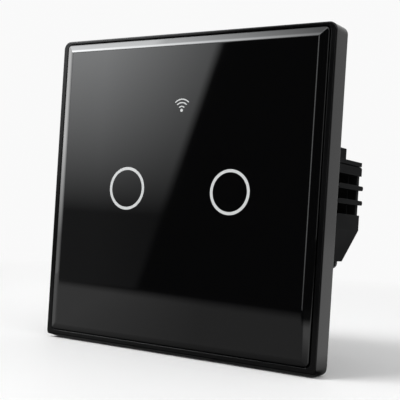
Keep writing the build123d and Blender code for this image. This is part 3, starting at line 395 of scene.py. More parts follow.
class Coating:
    """A new Principled material, with the textures and masks that the finishes share."""

    def __init__(self, name: str, effects: Effects) -> None:
        """Start the material.

        Args:
            name: The material's name.
            effects: The shared node groups.
        """
        self.effects = effects
        self.material, self.sheet = blank_material(name)
        self.shader = self.sheet.node("BsdfPrincipled")
        self.sheet.node("OutputMaterial", {"Surface": self.shader.outputs[0]})
        self.place = self.sheet.object_place()

    def edge(self, radius: float) -> Sockets:
        """Edge mask and rounded normal of edges rounded to a radius."""
        return self.sheet.node("Group", {"Radius": radius}, node_tree=self.effects.edge).outputs

    def textured(self, tree: Tree, **feeds: object) -> Sockets:
        """Outputs of a shared texture at the object's own coordinates."""
        return self.sheet.node("Group", {"Vector": self.place, **feeds}, node_tree=tree).outputs

    def handled(self, scale: float) -> Socket:
        """Unevenness from 0 to 1 that handling and moulding leave."""
        return self.textured(self.effects.handling, Scale=scale)["Value"]

    def bump(self, height: Socket, depth: float, strength: float = 1.0, **normal: Socket) -> Socket:
        """Normal bent by a height, which counts in shares of a depth."""
        feeds = {"Strength": strength, "Distance": depth, "Height": height, **normal}
        return self.sheet.node("Bump", feeds).outputs[0]


@dataclass(frozen=True)
class Finish:
    """A recipe for a material: each kind of finish lays its own nodes."""

    def build(self, name: str, effects: Effects) -> Material:
        """Make the recipe's material.

        Args:
            name: The material's name.
            effects: The shared node groups.

        Returns:
            The material.
        """
        coat = Coating(name, effects)
        coat.sheet.feed(coat.shader, self.lay(coat))
        return coat.material

    def lay(self, coat: Coating) -> dict:
        """Lay the nodes of the recipe and give the shader's inputs, by name."""
        raise NotImplementedError


@dataclass(frozen=True)
class MouldedPlastic(Finish):
    """Moulded plastic: eroded or satin grain, slightly polished edges, uneven gloss, and edges made paler by
    wear and by a painted highlight.
    """

    colour: Colour
    edge_wear_and_highlight_colour: Colour
    roughness: float = 0.42
    spread: float = 0.08
    grain_size: float = 0.25 * MM
    grain_depth: float = 0.012 * MM
    edge_radius: float = 0.16 * MM
    shine: float = 0.5
    coat: float = 0.0
    coat_roughness: float = 0.14
    ior: float = 1.5
    least_wear_and_highlight: float = 0.35
    fleck_level: float = 1.35
    edge_gloss: float = -0.12
    grain_strength: float = 0.6

    def lay(self, coat: Coating) -> dict:
        """Grain with lighter flecks; edges are glossier, and paler from wear and from a painted edge
        highlight.
        """
        sheet, edge = coat.sheet, coat.edge(self.edge_radius)
        grain = coat.textured(coat.effects.grain, Scale=1 / self.grain_size)
        handled = coat.handled(70.0)
        # Paler edges: partly wear, partly a painted highlight along the rounded edges, uneven along their
        # length.
        wear_and_highlight_share = sheet.spread(handled, 0.0, 1.0, (self.least_wear_and_highlight, 1.0))
        worn_and_highlit_edge = sheet.product(edge["Edge"], wear_and_highlight_share)
        plain = sheet.blend(grain["Fleck"], opaque(self.colour), opaque(self.colour, self.fleck_level))
        gloss = sheet.spread(handled, 0.0, 1.0, (self.roughness - self.spread, self.roughness + self.spread))
        eroded = coat.bump(grain["Height"], self.grain_depth, self.grain_strength, Normal=edge["Normal"])
        return {
            "Base Color": sheet.blend(worn_and_highlit_edge, plain, opaque(self.edge_wear_and_highlight_colour)),
            "Roughness": sheet.math("MULTIPLY_ADD", worn_and_highlit_edge, self.edge_gloss, gloss, clamp=True),
            "Normal": eroded,
            "IOR": self.ior,
            "Specular IOR Level": self.shine,
            "Coat Weight": self.coat,
            "Coat Roughness": self.coat_roughness,
        }


@dataclass(frozen=True)
class PolishedGlass(Finish):
    """Thick glass printed black behind: deep black with a clear polished face and ground edges."""

    colour: Colour
    ior: float = 1.45
    roughness: float = 0.035
    gloss_shares: Place = (0.7, 1.3)
    ground_roughness: float = 0.2
    ground_level: float = 2.2
    edge_radius: float = 0.35 * MM

    def lay(self, coat: Coating) -> dict:
        """Polished face, with rougher and paler ground edges."""
        sheet, edge = coat.sheet, coat.edge(self.edge_radius)
        least, most = (self.roughness * share for share in self.gloss_shares)
        polished = sheet.spread(coat.handled(45.0), 0.0, 1.0, (least, most))
        ground = sheet.product(edge["Edge"], self.ground_roughness)
        tone = sheet.blend(edge["Edge"], opaque(self.colour), opaque(self.colour, self.ground_level))
        return {
            "Base Color": tone,
            "Roughness": sheet.math("MAXIMUM", polished, ground),
            "Normal": edge["Normal"],
            "IOR": self.ior,
        }


@dataclass(frozen=True)
class PlatedMetal(Finish):
    """Rolled, turned or drawn metal: stretched lines, cloudy tone, brighter worn edges."""

    colour: Colour
    dark: Colour
    roughness: float = 0.32
    spread: float = 0.08
    stretch: Point = (120.0, 2500.0, 2500.0)
    line_depth: float = 0.004 * MM
    line_strength: float = 0.5
    edge_radius: float = 0.12 * MM
    edge_share: float = 0.5

    def lay(self, coat: Coating) -> dict:
        """Drawn lines under a cloudy tone; the darker places are rougher."""
        sheet, edge = coat.sheet, coat.edge(self.edge_radius)
        rolled = coat.textured(coat.effects.rolled, Stretch=self.stretch)
        share = sheet.spread(rolled["Tone"], 0.35, 0.65)
        tone = sheet.blend(share, opaque(self.dark), opaque(self.colour))
        rough_to_smooth = (self.roughness + self.spread, self.roughness - self.spread)
        drawn = coat.bump(rolled["Height"], self.line_depth, self.line_strength, Normal=edge["Normal"])
        bright_edge = sheet.product(edge["Edge"], self.edge_share)
        return {
            "Base Color": sheet.blend(bright_edge, tone, opaque(self.colour)),
            "Roughness": sheet.spread(rolled["Tone"], 0.3, 0.7, rough_to_smooth),
            "Normal": drawn,
            "Metallic": 1.0,
        }


@dataclass(frozen=True)
class CircuitBoard(Finish):
    """Glass-fibre board: copper shows lighter through the mask, and its holes are tinned."""

    mask: Colour
    copper: Colour
    tin: Colour = (0.62, 0.6, 0.56)
    fibre: Colour = (0.42, 0.4, 0.22)
    cell: float = 4.2 * MM
    edge_radius: float = 0.1 * MM
    copper_depth: float = 0.03 * MM
    hole_share: float = 0.6
    roughness: float = 0.34

    def lay(self, coat: Coating) -> dict:
        """Copper and holes on the two faces, bare fibre on the sawn edges."""
        sheet, edge = coat.sheet, coat.edge(self.edge_radius)
        flat = sheet.node("Mapping", {"Vector": coat.place, "Scale": (1.0, 0.0, 1.0)}).outputs[0]
        board = coat.textured(coat.effects.copper, Vector=flat, Scale=1 / self.cell)
        facing = sheet.node("SeparateXYZ", {0: sheet.node("NewGeometry").outputs["Normal"]}).outputs[1]
        face = sheet.spread(sheet.math("ABSOLUTE", facing), 0.5, 0.8)
        tone = sheet.blend(board["Copper"], opaque(self.mask), opaque(self.copper))
        tone = sheet.blend(board["Hole"], tone, opaque(self.tin))
        height = sheet.math("MULTIPLY_ADD", board["Hole"], self.hole_share, board["Copper"])
        return {
            "Base Color": sheet.blend(face, opaque(self.fibre), tone),
            "Metallic": sheet.product(board["Hole"], face),
            "Normal": coat.bump(height, self.copper_depth, Normal=edge["Normal"]),
            "Roughness": self.roughness,
        }


@dataclass(frozen=True)
class WoundWire(Finish):
    """Turns of wire or tape side by side, as bands across one axis."""

    colour: Colour
    gap: Colour
    pitch: float
    axis: str = "Y"
    metallic: float = 0.6
    roughness: float = 0.3
    gloss_change: Place = (-0.06, 0.1)
    turn_depth: float = 0.06 * MM
    waver: float = 0.3

    def lay(self, coat: Coating) -> dict:
        """Bands one pitch apart: the wave's phase is 20 * scale * place, and each turn of it is a band."""
        sheet = coat.sheet
        bands = {"Vector": coat.place, "Scale": TURN / (20 * self.pitch), "Distortion": self.waver}
        wave = sheet.node("TexWave", bands, bands_direction=self.axis).outputs["Fac"]
        gloss = tuple(self.roughness + change for change in self.gloss_change)
        crest = sheet.spread(wave, 0.1, 0.5)
        return {
            "Base Color": sheet.blend(crest, opaque(self.gap), opaque(self.colour)),
            "Roughness": sheet.spread(coat.handled(200.0), 0.0, 1.0, gloss),
            "Normal": coat.bump(wave, self.turn_depth),
            "Metallic": self.metallic,
        }


@dataclass(frozen=True)
class LitPrint(Finish):
    """Window in the black print, seen lit: white, glossy like the glass over it, slightly glowing."""

    colour: Colour
    glow: float
    roughness: float = 0.12
    ior: float = 1.45
    dim_level: float = 0.93

    def lay(self, coat: Coating) -> dict:
        """One slightly uneven tone, both reflected and given off."""
        handled = coat.handled(900.0)
        tone = coat.sheet.blend(handled, opaque(self.colour, self.dim_level), opaque(self.colour))
        lit = {"Base Color": tone, "Emission Color": tone, "Emission Strength": self.glow}
        return {**lit, "Roughness": self.roughness, "IOR": self.ior}


@dataclass(frozen=True)
class ClearResin(Finish):
    """Clear moulded light guide: transmits, with faint flow marks."""

    colour: Colour
    roughness: float = 0.12
    gloss_shares: Place = (0.6, 1.6)
    transmission: float = 0.85
    ior: float = 1.49
    dim_level: float = 0.95

    def lay(self, coat: Coating) -> dict:
        """Flow marks vary the tone and the gloss."""
        sheet, handled = coat.sheet, coat.handled(160.0)
        least, most = (self.roughness * share for share in self.gloss_shares)
        return {
            "Base Color": sheet.blend(handled, opaque(self.colour, self.dim_level), opaque(self.colour)),
            "Roughness": sheet.spread(handled, 0.0, 1.0, (least, most)),
            "Transmission Weight": self.transmission,
            "IOR": self.ior,
        }


# Paler colour of black plastic edges: wear and a painted edge highlight.
BLACK_EDGE_WEAR_AND_HIGHLIGHT = (0.04, 0.041, 0.042)
MATT = 0.006
EVEN = (900.0, 900.0, 900.0)
FINISHES = {
    "black_glass": PolishedGlass((0.0009, 0.0009, 0.001)),
    "black_satin": MouldedPlastic(
        colour=(0.0014, 0.0014, 0.0015),
        # Paler edge colour: wear and a painted highlight on the lip's rounded edges.
        edge_wear_and_highlight_colour=(0.008, 0.008, 0.0082),
        roughness=0.15,
        spread=0.025,
        grain_size=0.12 * MM,
        grain_depth=0.0006 * MM,
        edge_radius=0.22 * MM,
        shine=0.13,
    ),
    "cover_black": MouldedPlastic(
        colour=(0.0075, 0.0077, 0.008),
        edge_wear_and_highlight_colour=BLACK_EDGE_WEAR_AND_HIGHLIGHT,
        roughness=0.5,
        spread=0.06,
        grain_size=0.3 * MM,
        grain_depth=0.014 * MM,
        shine=MATT,
    ),
    "housing_black": MouldedPlastic(
        colour=(0.0072, 0.0075, 0.0077),
        edge_wear_and_highlight_colour=BLACK_EDGE_WEAR_AND_HIGHLIGHT,
        roughness=0.46,
        spread=0.07,
        grain_size=0.32 * MM,
        grain_depth=0.016 * MM,
        shine=MATT,
    ),
    "tape_foam": MouldedPlastic(
        colour=(0.02, 0.02, 0.02),
        edge_wear_and_highlight_colour=(0.04, 0.04, 0.04),
        roughness=0.8,
        spread=0.05,
        grain_size=0.3 * MM,
        grain_depth=0.03 * MM,
    ),
    "light_guide": ClearResin((0.92, 0.94, 0.95)),
    "spring_steel": PlatedMetal((0.78, 0.78, 0.79), (0.6, 0.6, 0.62), roughness=0.2),
    "board_green": CircuitBoard((0.008, 0.075, 0.03), (0.02, 0.16, 0.06)),
    "chip_black": MouldedPlastic(
        (0.012, 0.012, 0.013), (0.05, 0.05, 0.05), 0.55, 0.06, 0.08 * MM, 0.006 * MM
    ),
    "led_white": MouldedPlastic((0.75, 0.72, 0.55), (0.85, 0.83, 0.7), 0.3, 0.05, 0.1 * MM, 0.002 * MM),
    "shield_tin": PlatedMetal((0.74, 0.73, 0.71), (0.55, 0.54, 0.52), roughness=0.26),
    "zinc_steel": PlatedMetal((0.7, 0.71, 0.73), (0.5, 0.51, 0.53), roughness=0.38, line_depth=0.001 * MM),
    "screw_steel": PlatedMetal((0.66, 0.67, 0.69), (0.42, 0.43, 0.45), roughness=0.27, stretch=EVEN),
    "black_steel": PlatedMetal((0.012, 0.012, 0.0125), (0.007, 0.007, 0.0075), roughness=0.42, stretch=EVEN),
    "brass": PlatedMetal((0.78, 0.58, 0.26), (0.55, 0.38, 0.15), roughness=0.28),
    "relay_blue": MouldedPlastic((0.015, 0.09, 0.34), (0.06, 0.2, 0.5), 0.3, 0.05, 0.2 * MM, 0.004 * MM),
    "copper_wire": WoundWire((0.55, 0.2, 0.09), (0.12, 0.04, 0.02), pitch=0.12 * MM),
    "ferrite": MouldedPlastic((0.035, 0.035, 0.038), (0.11, 0.11, 0.115), 0.6, 0.08, 0.15 * MM, 0.012 * MM),
    "bobbin_black": MouldedPlastic((0.016, 0.016, 0.016), (0.06, 0.06, 0.06), roughness=0.5),
    "winding_yellow": WoundWire(
        colour=(0.78, 0.58, 0.05),
        gap=(0.5, 0.36, 0.03),
        pitch=2.4 * MM,
        axis="Z",
        metallic=0.0,
        roughness=0.28,
    ),
    "can_sleeve": MouldedPlastic(
        colour=(0.012, 0.012, 0.035),
        edge_wear_and_highlight_colour=(0.05, 0.05, 0.09),
        roughness=0.26,
        spread=0.05,
        grain_size=0.6 * MM,
        grain_depth=0.006 * MM,
        coat=0.4,
    ),
    "film_yellow": MouldedPlastic((0.72, 0.5, 0.03), (0.85, 0.66, 0.15), 0.34, 0.05, 0.3 * MM, 0.005 * MM),
    "varistor_blue": MouldedPlastic((0.02, 0.14, 0.42), (0.06, 0.25, 0.55), 0.25, 0.05, 0.9 * MM, 0.02 * MM),
    "resistor_green": MouldedPlastic((0.12, 0.26, 0.16), (0.2, 0.36, 0.25), 0.3, 0.05, 0.8 * MM, 0.02 * MM),
}


class Workshop:
    """Makes each finish's material once and dresses pieces with it."""

    def __init__(self, effects: Effects) -> None:
        """Keep the shared effects."""
        self.effects = effects
        self.made: dict[str, Material] = {}

    def dress(self, piece: Object, name: str, finish: Finish | None = None) -> None:
        """Give a piece its finish in every slot of its mesh.

        Args:
            piece: The piece.
            name: The finish's name, also that of its material.
            finish: The finish, or None for the one of that name in FINISHES.
        """
        if name not in self.made:
            self.made[name] = (finish or FINISHES[name]).build(name, self.effects)
        piece.data.materials.clear()
        piece.data.materials.append(self.made[name])


# Pieces on the glass


@dataclass
class TouchRing:
    """Round window in the glass's black print, lit from its light guide."""

    name: str
    centre: Place
    depth: float
    radius: float = 5.86
    stroke: float = 0.78
    thickness: float = 0.02
    segments: int = 128

    def build(self) -> Object:
        """Flat ring: a bar section carried round a circle, (r cos a, r sin a)."""
        angle = np.linspace(0.0, TURN, self.segments, endpoint=False)
        half = np.full(self.segments, self.stroke / 2)
        offset, depth = bar_profile(half, self.depth - self.thickness, self.depth + self.thickness)
        reach = self.radius - self.stroke / 2 + offset
        return lay_grid(self.name, turned_points(self.centre, reach, angle[:, None], depth))


@dataclass
class SignalMark:
    """Wireless pictogram: three arcs over a dot, as plain generic shapes."""

    depth: float
    centre_x: float = 0.3
    base: float = 22.0
    arc_radii: tuple[float, ...] = (1.2, 2.2, 3.1)
    half_angle: float = math.radians(44)
    stroke: float = 0.3
    dot_radius: float = 0.42
    dot_height: float = 22.16
    thickness: float = 0.02
    dot_segments: int = 48
    arc_stations: int = 65

    def build(self) -> list[Object]:
        """Arcs whose width falls to nothing in a half circle at each end, and a round dot."""
        pieces = [self.arc(number, radius) for number, radius in enumerate(self.arc_radii, start=1)]
        return [*pieces, self.dot()]

    def dot(self) -> Object:
        """Round dot: a closed disc turned from the profile (0, back), (r, back), (r, front), (0, front)."""
        angle = np.linspace(0.0, TURN, self.dot_segments, endpoint=False)[:, None]
        reach = self.dot_radius * np.array([0.0, 1.0, 1.0, 0.0])
        depth = self.depth + self.thickness * np.array([1.0, 1.0, -1.0, -1.0])
        points = turned_points((self.centre_x, self.dot_height), reach, angle, depth)
        return lay_grid("signal_dot", points, closed_v=False)

    def arc(self, number: int, radius: float) -> Object:
        """One arc: half width is the stroke's half times sqrt(1 - t^2) within a cap's reach of an end."""
        angle = np.linspace(-self.half_angle, self.half_angle, self.arc_stations)
        cap = self.stroke / 2 / radius
        past = np.clip((np.abs(angle) - (self.half_angle - cap)) / cap, 0.0, 1.0)
        half = self.stroke / 2 * np.sqrt(1.0 - past**2)
        offset, depth = bar_profile(half, self.depth - self.thickness, self.depth + self.thickness)
        reach = radius + offset
        x = self.centre_x + reach * np.sin(angle)[:, None]
        z = self.base + reach * np.cos(angle)[:, None]
        return lay_grid(f"signal_arc_{number}", front_points(x, z, depth), closed_u=False)


class Maker:
    """Something that makes new pieces of the switch."""

    def build(self, workshop: Workshop) -> list[Object]:
        """Make the pieces, dress them and say which body they ride on.

        Args:
            workshop: Gives the pieces their finish.

        Returns:
            The pieces.
        """
        raise NotImplementedError


@dataclass
class GlassMarks(Maker):
    """The lit marks on the glass: two touch rings and the signal pictogram."""

    ring_places: tuple[Place, Place] = ((-16.2, 1.0), (16.6, 1.0))
    finish: LitPrint = LitPrint((0.47, 0.48, 0.48), 0.12)

    def build(self, workshop: Workshop) -> list[Object]:
        """Make the marks on the glass's front face, riding on the front unit."""
        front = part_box("glass_panel")[0].y / MM
        names = ("touch_ring_left", "touch_ring_right")
        rings = [TouchRing(name, place, front).build() for name, place in zip(names, self.ring_places)]
        pieces = [*rings, *SignalMark(front).build()]
        for piece in pieces:
            workshop.dress(piece, "lit_print", self.finish)
            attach(piece, Body.FRONT.value)
        return pieces


# Fasteners and solder


@dataclass
class PanScrew:
    """Pan head screw: a crowned head with a cross recess, and a shank with a helical thread.

    The whole skin is one grid of angle by station. The stations run from the head's middle over its
    crown and rim, under it, down the shank and to the middle of the tip.
    """

    name: str
    centre: Place
    head_face: float
    tip: float
    head_radius: float
    head_height: float
    radius: float
    pitch: float = 0.5
    crown_share: float = 0.3
    arm_share: float = 0.62
    arm_width_share: float = 0.17
    recess_share: float = 0.62
    taper_share: float = 0.1
    thread_share: float = 0.55
    segments: int = 72
    rings: int = 30
    turn_stations: int = 8

    def recess(self, x: Array, z: Array) -> Array:
        """Depth of the cross: two crossed bars whose walls slope by the taper, max of their products.

        Args:
            x: Places across, from the head's middle.
            z: Places up, from the head's middle.

        Returns:
            Depth below the head's face at each place, in millimetres.
        """
        taper = self.taper_share * self.head_radius
        half, reach = self.arm_width_share * self.head_radius, self.arm_share * self.head_radius

        def bar(across: Array, along: Array) -> Array:
            """1 inside a bar, falling to 0 over the taper outside it."""
            side = np.clip((half + taper - np.abs(across)) / taper, 0.0, 1.0)
            return side * np.clip((reach + taper - np.abs(along)) / taper, 0.0, 1.0)

        return self.recess_share * self.head_height * np.maximum(bar(x, z), bar(z, x))

    def head(self, angle: Array) -> tuple[Array, Array]:
        """Radii and depths of the head: the face falls by r^4 and by the recess, then rim and underside."""
        share = np.linspace(0.0, 1.0, self.rings)
        radius = share * self.head_radius + 0 * angle
        crown = self.crown_share * self.head_height * share**4
        depth = crown + self.recess(radius * np.cos(angle), radius * np.sin(angle))
        rim = np.stack([self.head_radius + 0 * angle[:, 0], self.radius + 0 * angle[:, 0]], axis=1)
        under = np.full_like(rim, self.head_height)
        return np.concatenate([radius, rim], axis=1), np.concatenate([depth, under], axis=1)

    def shank(self, angle: Array) -> tuple[Array, Array]:
        """Radii and depths of the thread: the crest less a triangle wave of depth / pitch - turns."""
        length = abs(self.tip - self.head_face)
        stations = max(int((length - self.head_height) / self.pitch * self.turn_stations), 2)
        depth = np.linspace(self.head_height, length, stations) + 0 * angle
        phase = (depth / self.pitch - angle / TURN) % 1.0
        groove = self.thread_share * self.pitch * (1.0 - np.abs(2.0 * phase - 1.0))
        ends = np.clip(np.minimum(depth - self.head_height, length - depth) / self.pitch, 0.0, 1.0)
        radius = self.radius - groove * ends
        tip = np.zeros((self.segments, 1))
        return np.concatenate([radius, tip], axis=1), np.concatenate([depth, length + tip], axis=1)

    def build(self, workshop: Workshop, slot: str) -> Object:
        """Skin of the screw, dressed.

        Args:
            workshop: Gives the screw its finish.
            slot: Material slot of the finish.

        Returns:
            The piece, which rides on nothing yet.
        """
        angle = np.linspace(0.0, TURN, self.segments, endpoint=False)[:, None]
        (head_radius, head_depth), (shank_radius, shank_depth) = self.head(angle), self.shank(angle)
        radius = np.concatenate([head_radius, shank_radius], axis=1)
        depth = np.concatenate([head_depth, shank_depth], axis=1)
        way = math.copysign(1.0, self.tip - self.head_face)
        points = turned_points(self.centre, radius, angle, self.head_face + way * depth)
        screw = lay_grid(self.name, points, closed_v=False)
        workshop.dress(screw, slot)
        return screw


class HeadSide(Enum):
    """The face of a node's box that its screws' heads lie on."""

    FRONT = 0
    REAR = 1


@dataclass(frozen=True)
class ScrewSet:
    """The screws of one node: their body, finish and sizes, and the side that they enter from."""

    node: str
    body: str
    slot: str
    head_radius: float
    head_height: float
    radius: float
    heads: HeadSide = HeadSide.REAR
    widest_single: float = 2.1

    def screws(self) -> list[PanScrew]:
        """One screw at each corner that its node's box has room for, a head's radius inside."""
        corners = [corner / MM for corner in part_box(self.node)]
        low, high = corners
        face, tip = corners[self.heads.value].y, corners[1 - self.heads.value].y
        sizes = (self.head_radius, self.head_height, self.radius)
        places = [(x, z) for x in self.middles(low.x, high.x) for z in self.middles(low.z, high.z)]
        return [
            PanScrew(f"{self.node}_turned_{number}", place, face, tip, *sizes)
            for number, place in enumerate(places, start=1)
        ]

    def middles(self, low: float, high: float) -> tuple[float, ...]:
        """Middles of the heads along one side of the box: one in a box a head wide, or else two."""
        if high - low < self.widest_single * self.head_radius:
            return ((low + high) / 2,)
        return low + self.head_radius, high - self.head_radius


@dataclass
class Fasteners(Maker):
    """The pan head screws, each set in place of its node."""

    sets: tuple[ScrewSet, ...] = (
        ScrewSet("cover_screws", Body.WALL.value, "black_steel", 1.75, 1.5, 1.25),
        ScrewSet("inner_cover_screws", Body.FRONT.value, "screw_steel", 1.8, 1.2, 1.0),
        ScrewSet("board_screws", Body.WALL.value, "screw_steel", 1.8, 1.2, 1.0, HeadSide.FRONT),
        *(
            ScrewSet(f"terminal_screw_{number}", f"screw_{number}", "screw_steel", 2.5, 1.9, 1.5)
            for number in (1, 2, 3, 4)
        ),
    )

    def build(self, workshop: Workshop) -> list[Object]:
        """Make every screw in place of the nodes that they stand for."""
        pieces = []
        for screw_set in self.sets:
            for screw in screw_set.screws():
                piece = screw.build(workshop, screw_set.slot)
                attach(piece, screw_set.body)
                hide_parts(screw_set.node)
                pieces.append(piece)
        return pieces


@dataclass
class SolderJoints(Maker):
    """Solder on the power board's front: a small cone with a drawn-in waist over each pin.

    The surface is (r(t) cos a, r(t) sin a) over each pin, with r = R (1 - t)^2 and the height h t.
    """

    inset: float = 1.4
    reach: float = 0.75
    height: float = 0.7
    room: float = 0.5
    segments: int = 16
    rings: int = 6
    carried: tuple[str, ...] = (
        "relay_base_left",
        "relay_base_right",
        "transformer_bobbin",
        "film_capacitor",
        "input_capacitor",
        "fuse_resistor",
        "varistor",
    )
    in_front: tuple[str, ...] = (
        "bridge_rectifier",
        "regulator_chip",
        "filter_choke",
        "output_capacitor",
        "header_socket",
    )

    def pins(self) -> Array:
        """Places of the pins: inset corners of what the board carries, clear of what sits in front.

        Returns:
            The places across and up, in millimetres, of shape (n, 2).
        """
        places = []
        for node in self.carried:
            low, high = (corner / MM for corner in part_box(node))
            wide, tall = high.x - low.x, high.z - low.z
            inset_x, inset_z = min(self.inset, wide / 2), min(self.inset, tall / 2)
            places += [
                (x, z)
                for x in {low.x + inset_x, high.x - inset_x}
                for z in {low.z + inset_z, high.z - inset_z}
            ]
        places = np.array(sorted(places))
        keep = np.full(len(places), True)
        clear = self.reach + self.room
        for node in self.in_front:
            low, high = (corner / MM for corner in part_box(node))
            inside = (places[:, 0] > low.x - clear) & (places[:, 0] < high.x + clear)
            inside &= (places[:, 1] > low.z - clear) & (places[:, 1] < high.z + clear)
            keep &= ~inside
        return places[keep]

    def build(self, workshop: Workshop) -> list[Object]:
        """Make one mesh of all the joints, on the board's front face."""
        pins = self.pins()
        angle = np.linspace(0.0, TURN, self.segments, endpoint=False)[None, :, None]
        share = np.linspace(0.0, 1.0, self.rings)[None, None, :]
        reach = self.reach * (1.0 - share) ** 2
        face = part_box("power_board")[0].y / MM
        points = turned_points(pins.T[:, :, None, None], reach, angle, face - self.height * share)
        size = self.segments * self.rings
        cell = np.arange(size).reshape(self.segments, self.rings)
        near, far = cell[:, :-1], np.roll(cell, -1, axis=0)[:, :-1]
        quads = np.stack([near, far, far + 1, near + 1], axis=-1).reshape(-1, 4)
        faces = (quads[None] + size * np.arange(len(pins))[:, None, None]).reshape(-1, 4)
        bases = cell[:, 0][None] + size * np.arange(len(pins))[:, None]
        joints = new_piece("solder_joints", points.reshape(-1, 3), [*faces.tolist(), *bases.tolist()])
        workshop.dress(joints, "shield_tin")
        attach(joints, Body.WALL.value)
        return [joints]


# Stage, lights and camera


ACROSS, DEEP, UP = (1.0, 0.0, 0.0), (0.0, 1.0, 0.0), (0.0, 0.0, 1.0)


@dataclass(frozen=True)
class Ramp:
    """A value that changes evenly between two places along a line, and is held beyond them.

    A place along the line is the sum of the three coordinates, each times its share in `along`, of
    which one share is 1. Places are in millimetres.
    """

    along: Point
    start: float
    stop: float
    values: Place = (0.0, 1.0)

    def at(self, sheet: Sheet, parts: Sequence[Socket]) -> Socket:
        """Value of the ramp at a point.

        Args:
            sheet: Where the nodes go.
            parts: The point's three coordinates, in metres.

        Returns:
            The value.
        """
        place = parts[self.along.index(1.0)]
        for part, share in zip(parts, self.along):
            if share not in (0.0, 1.0):
                place = sheet.math("MULTIPLY_ADD", part, share, place)
        return sheet.spread(place, self.start * MM, self.stop * MM, self.values)


# The flag's glow: the window that the glass's face mirrors, brighter towards its top left and with a
# leaning right edge; a strip at the flag's left end; and strips for the top and the right bevel.
FACE_WINDOW = (
    Ramp(UP, -4.0, 100.0, (0.16, 5.1)),
    Ramp(ACROSS, -175.0, -105.0, (1.08, 0.44)),
    Ramp((1.0, 0.0, -0.336), -128.0, -133.5),
    Ramp(UP, 106.0, 100.0),
    Ramp(ACROSS, -210.0, -204.0, (0.15, 1.0)),
)
SIDE_STRIP = (Ramp(ACROSS, -214.0, -224.0), Ramp(UP, -20.0, 40.0, (0.6, 3.4)))
TOP_STRIP = (
    Ramp(UP, 118.0, 150.0),
    Ramp(UP, 200.0, 300.0, (1.0, 0.26)),
    Ramp((1.0, 0.0, 0.3), -125.0, -15.0, (20.0, 5.0)),
)
UPRIGHT_STRIP = (
    Ramp(ACROSS, -28.0, -20.0),
    Ramp(ACROSS, 12.0, 4.0),
    Ramp(UP, -60.0, -10.0, (0.8, 2.4)),
)
SIDE_CARD = (Ramp(UP, -20.0, 40.0, (1.2, 5.2)), Ramp(DEEP, -36.0, -50.0, (0.01, 1.0)))

# How bright glossy rays find the floor: a painted reflection whose level is set by place
FLOOR_REFLECTION_LEFT = Ramp((1.0, -0.6, 0.0), -42.0, 12.0, (0.8, 0.43))
FLOOR_REFLECTION_RIGHT = Ramp(ACROSS, 40.0, 60.0, (0.0, 1.3))
# Painted shade: the mirrored floor darkens towards the flag.
FLOOR_SHADE_AT_FLAG = Ramp((-0.17, 1.0, 0.0), -162.0, -128.0, (0.05, 1.0))


@dataclass
class Card:
    """A studio card on the stage that only some rays see."""

    name: str
    corners: Sequence[Point]
    shown_to: tuple[Ray, ...] = (Ray.GLOSSY,)

    def build(self, material: Material) -> Object:
        """Flat four-cornered card with its material, on the stage."""
        mesh = bpy.data.meshes.new(self.name)
        mesh.from_pydata([[c * MM for c in corner] for corner in self.corners], [], [[0, 1, 2, 3]])
        mesh.materials.append(material)
        card = add_object(self.name, mesh)
        for ray in Ray:
            setattr(card, ray.value, ray in self.shown_to)
        card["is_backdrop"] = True
        return card


def glow_material(
    name: str, patterns: Sequence[Sequence[Ramp]] = (), base: float = 0.0, colour: Colour = (1.0, 1.0, 1.0)
) -> Material:
    """Material that only glows: the sum of its patterns, each a product of ramps, over a base level.

    Args:
        name: The material's name.
        patterns: The ramps of each pattern.
        base: Level where no pattern glows.
        colour: Colour of the glow.

    Returns:
        The material.
    """
    material, sheet = blank_material(name)
    parts = sheet.node("SeparateXYZ", {0: sheet.object_place()}).outputs
    levels = [sheet.product(*(ramp.at(sheet, parts) for ramp in pattern)) for pattern in patterns]
    glow = sheet.node("Emission", {"Color": opaque(colour), "Strength": sheet.total(*levels, base)})
    sheet.node("OutputMaterial", {"Surface": glow.outputs[0]})
    return material


@dataclass(frozen=True)
class Lamp:
    """Square area lamp aimed at the object, unseen in reflections."""

    name: str
    place: Point
    size: float
    power: float

    def build(self) -> None:
        """Make the lamp."""
        data = bpy.data.lights.new(self.name, "AREA")
        data.size = self.size
        data.energy = self.power
        lamp = add_object(self.name, data)
        lamp.visible_glossy = False
        lamp.location = self.place
        lamp.rotation_mode = "QUATERNION"
        lamp.rotation_quaternion = (-Vector(self.place)).to_track_quat("-Z", "Y")


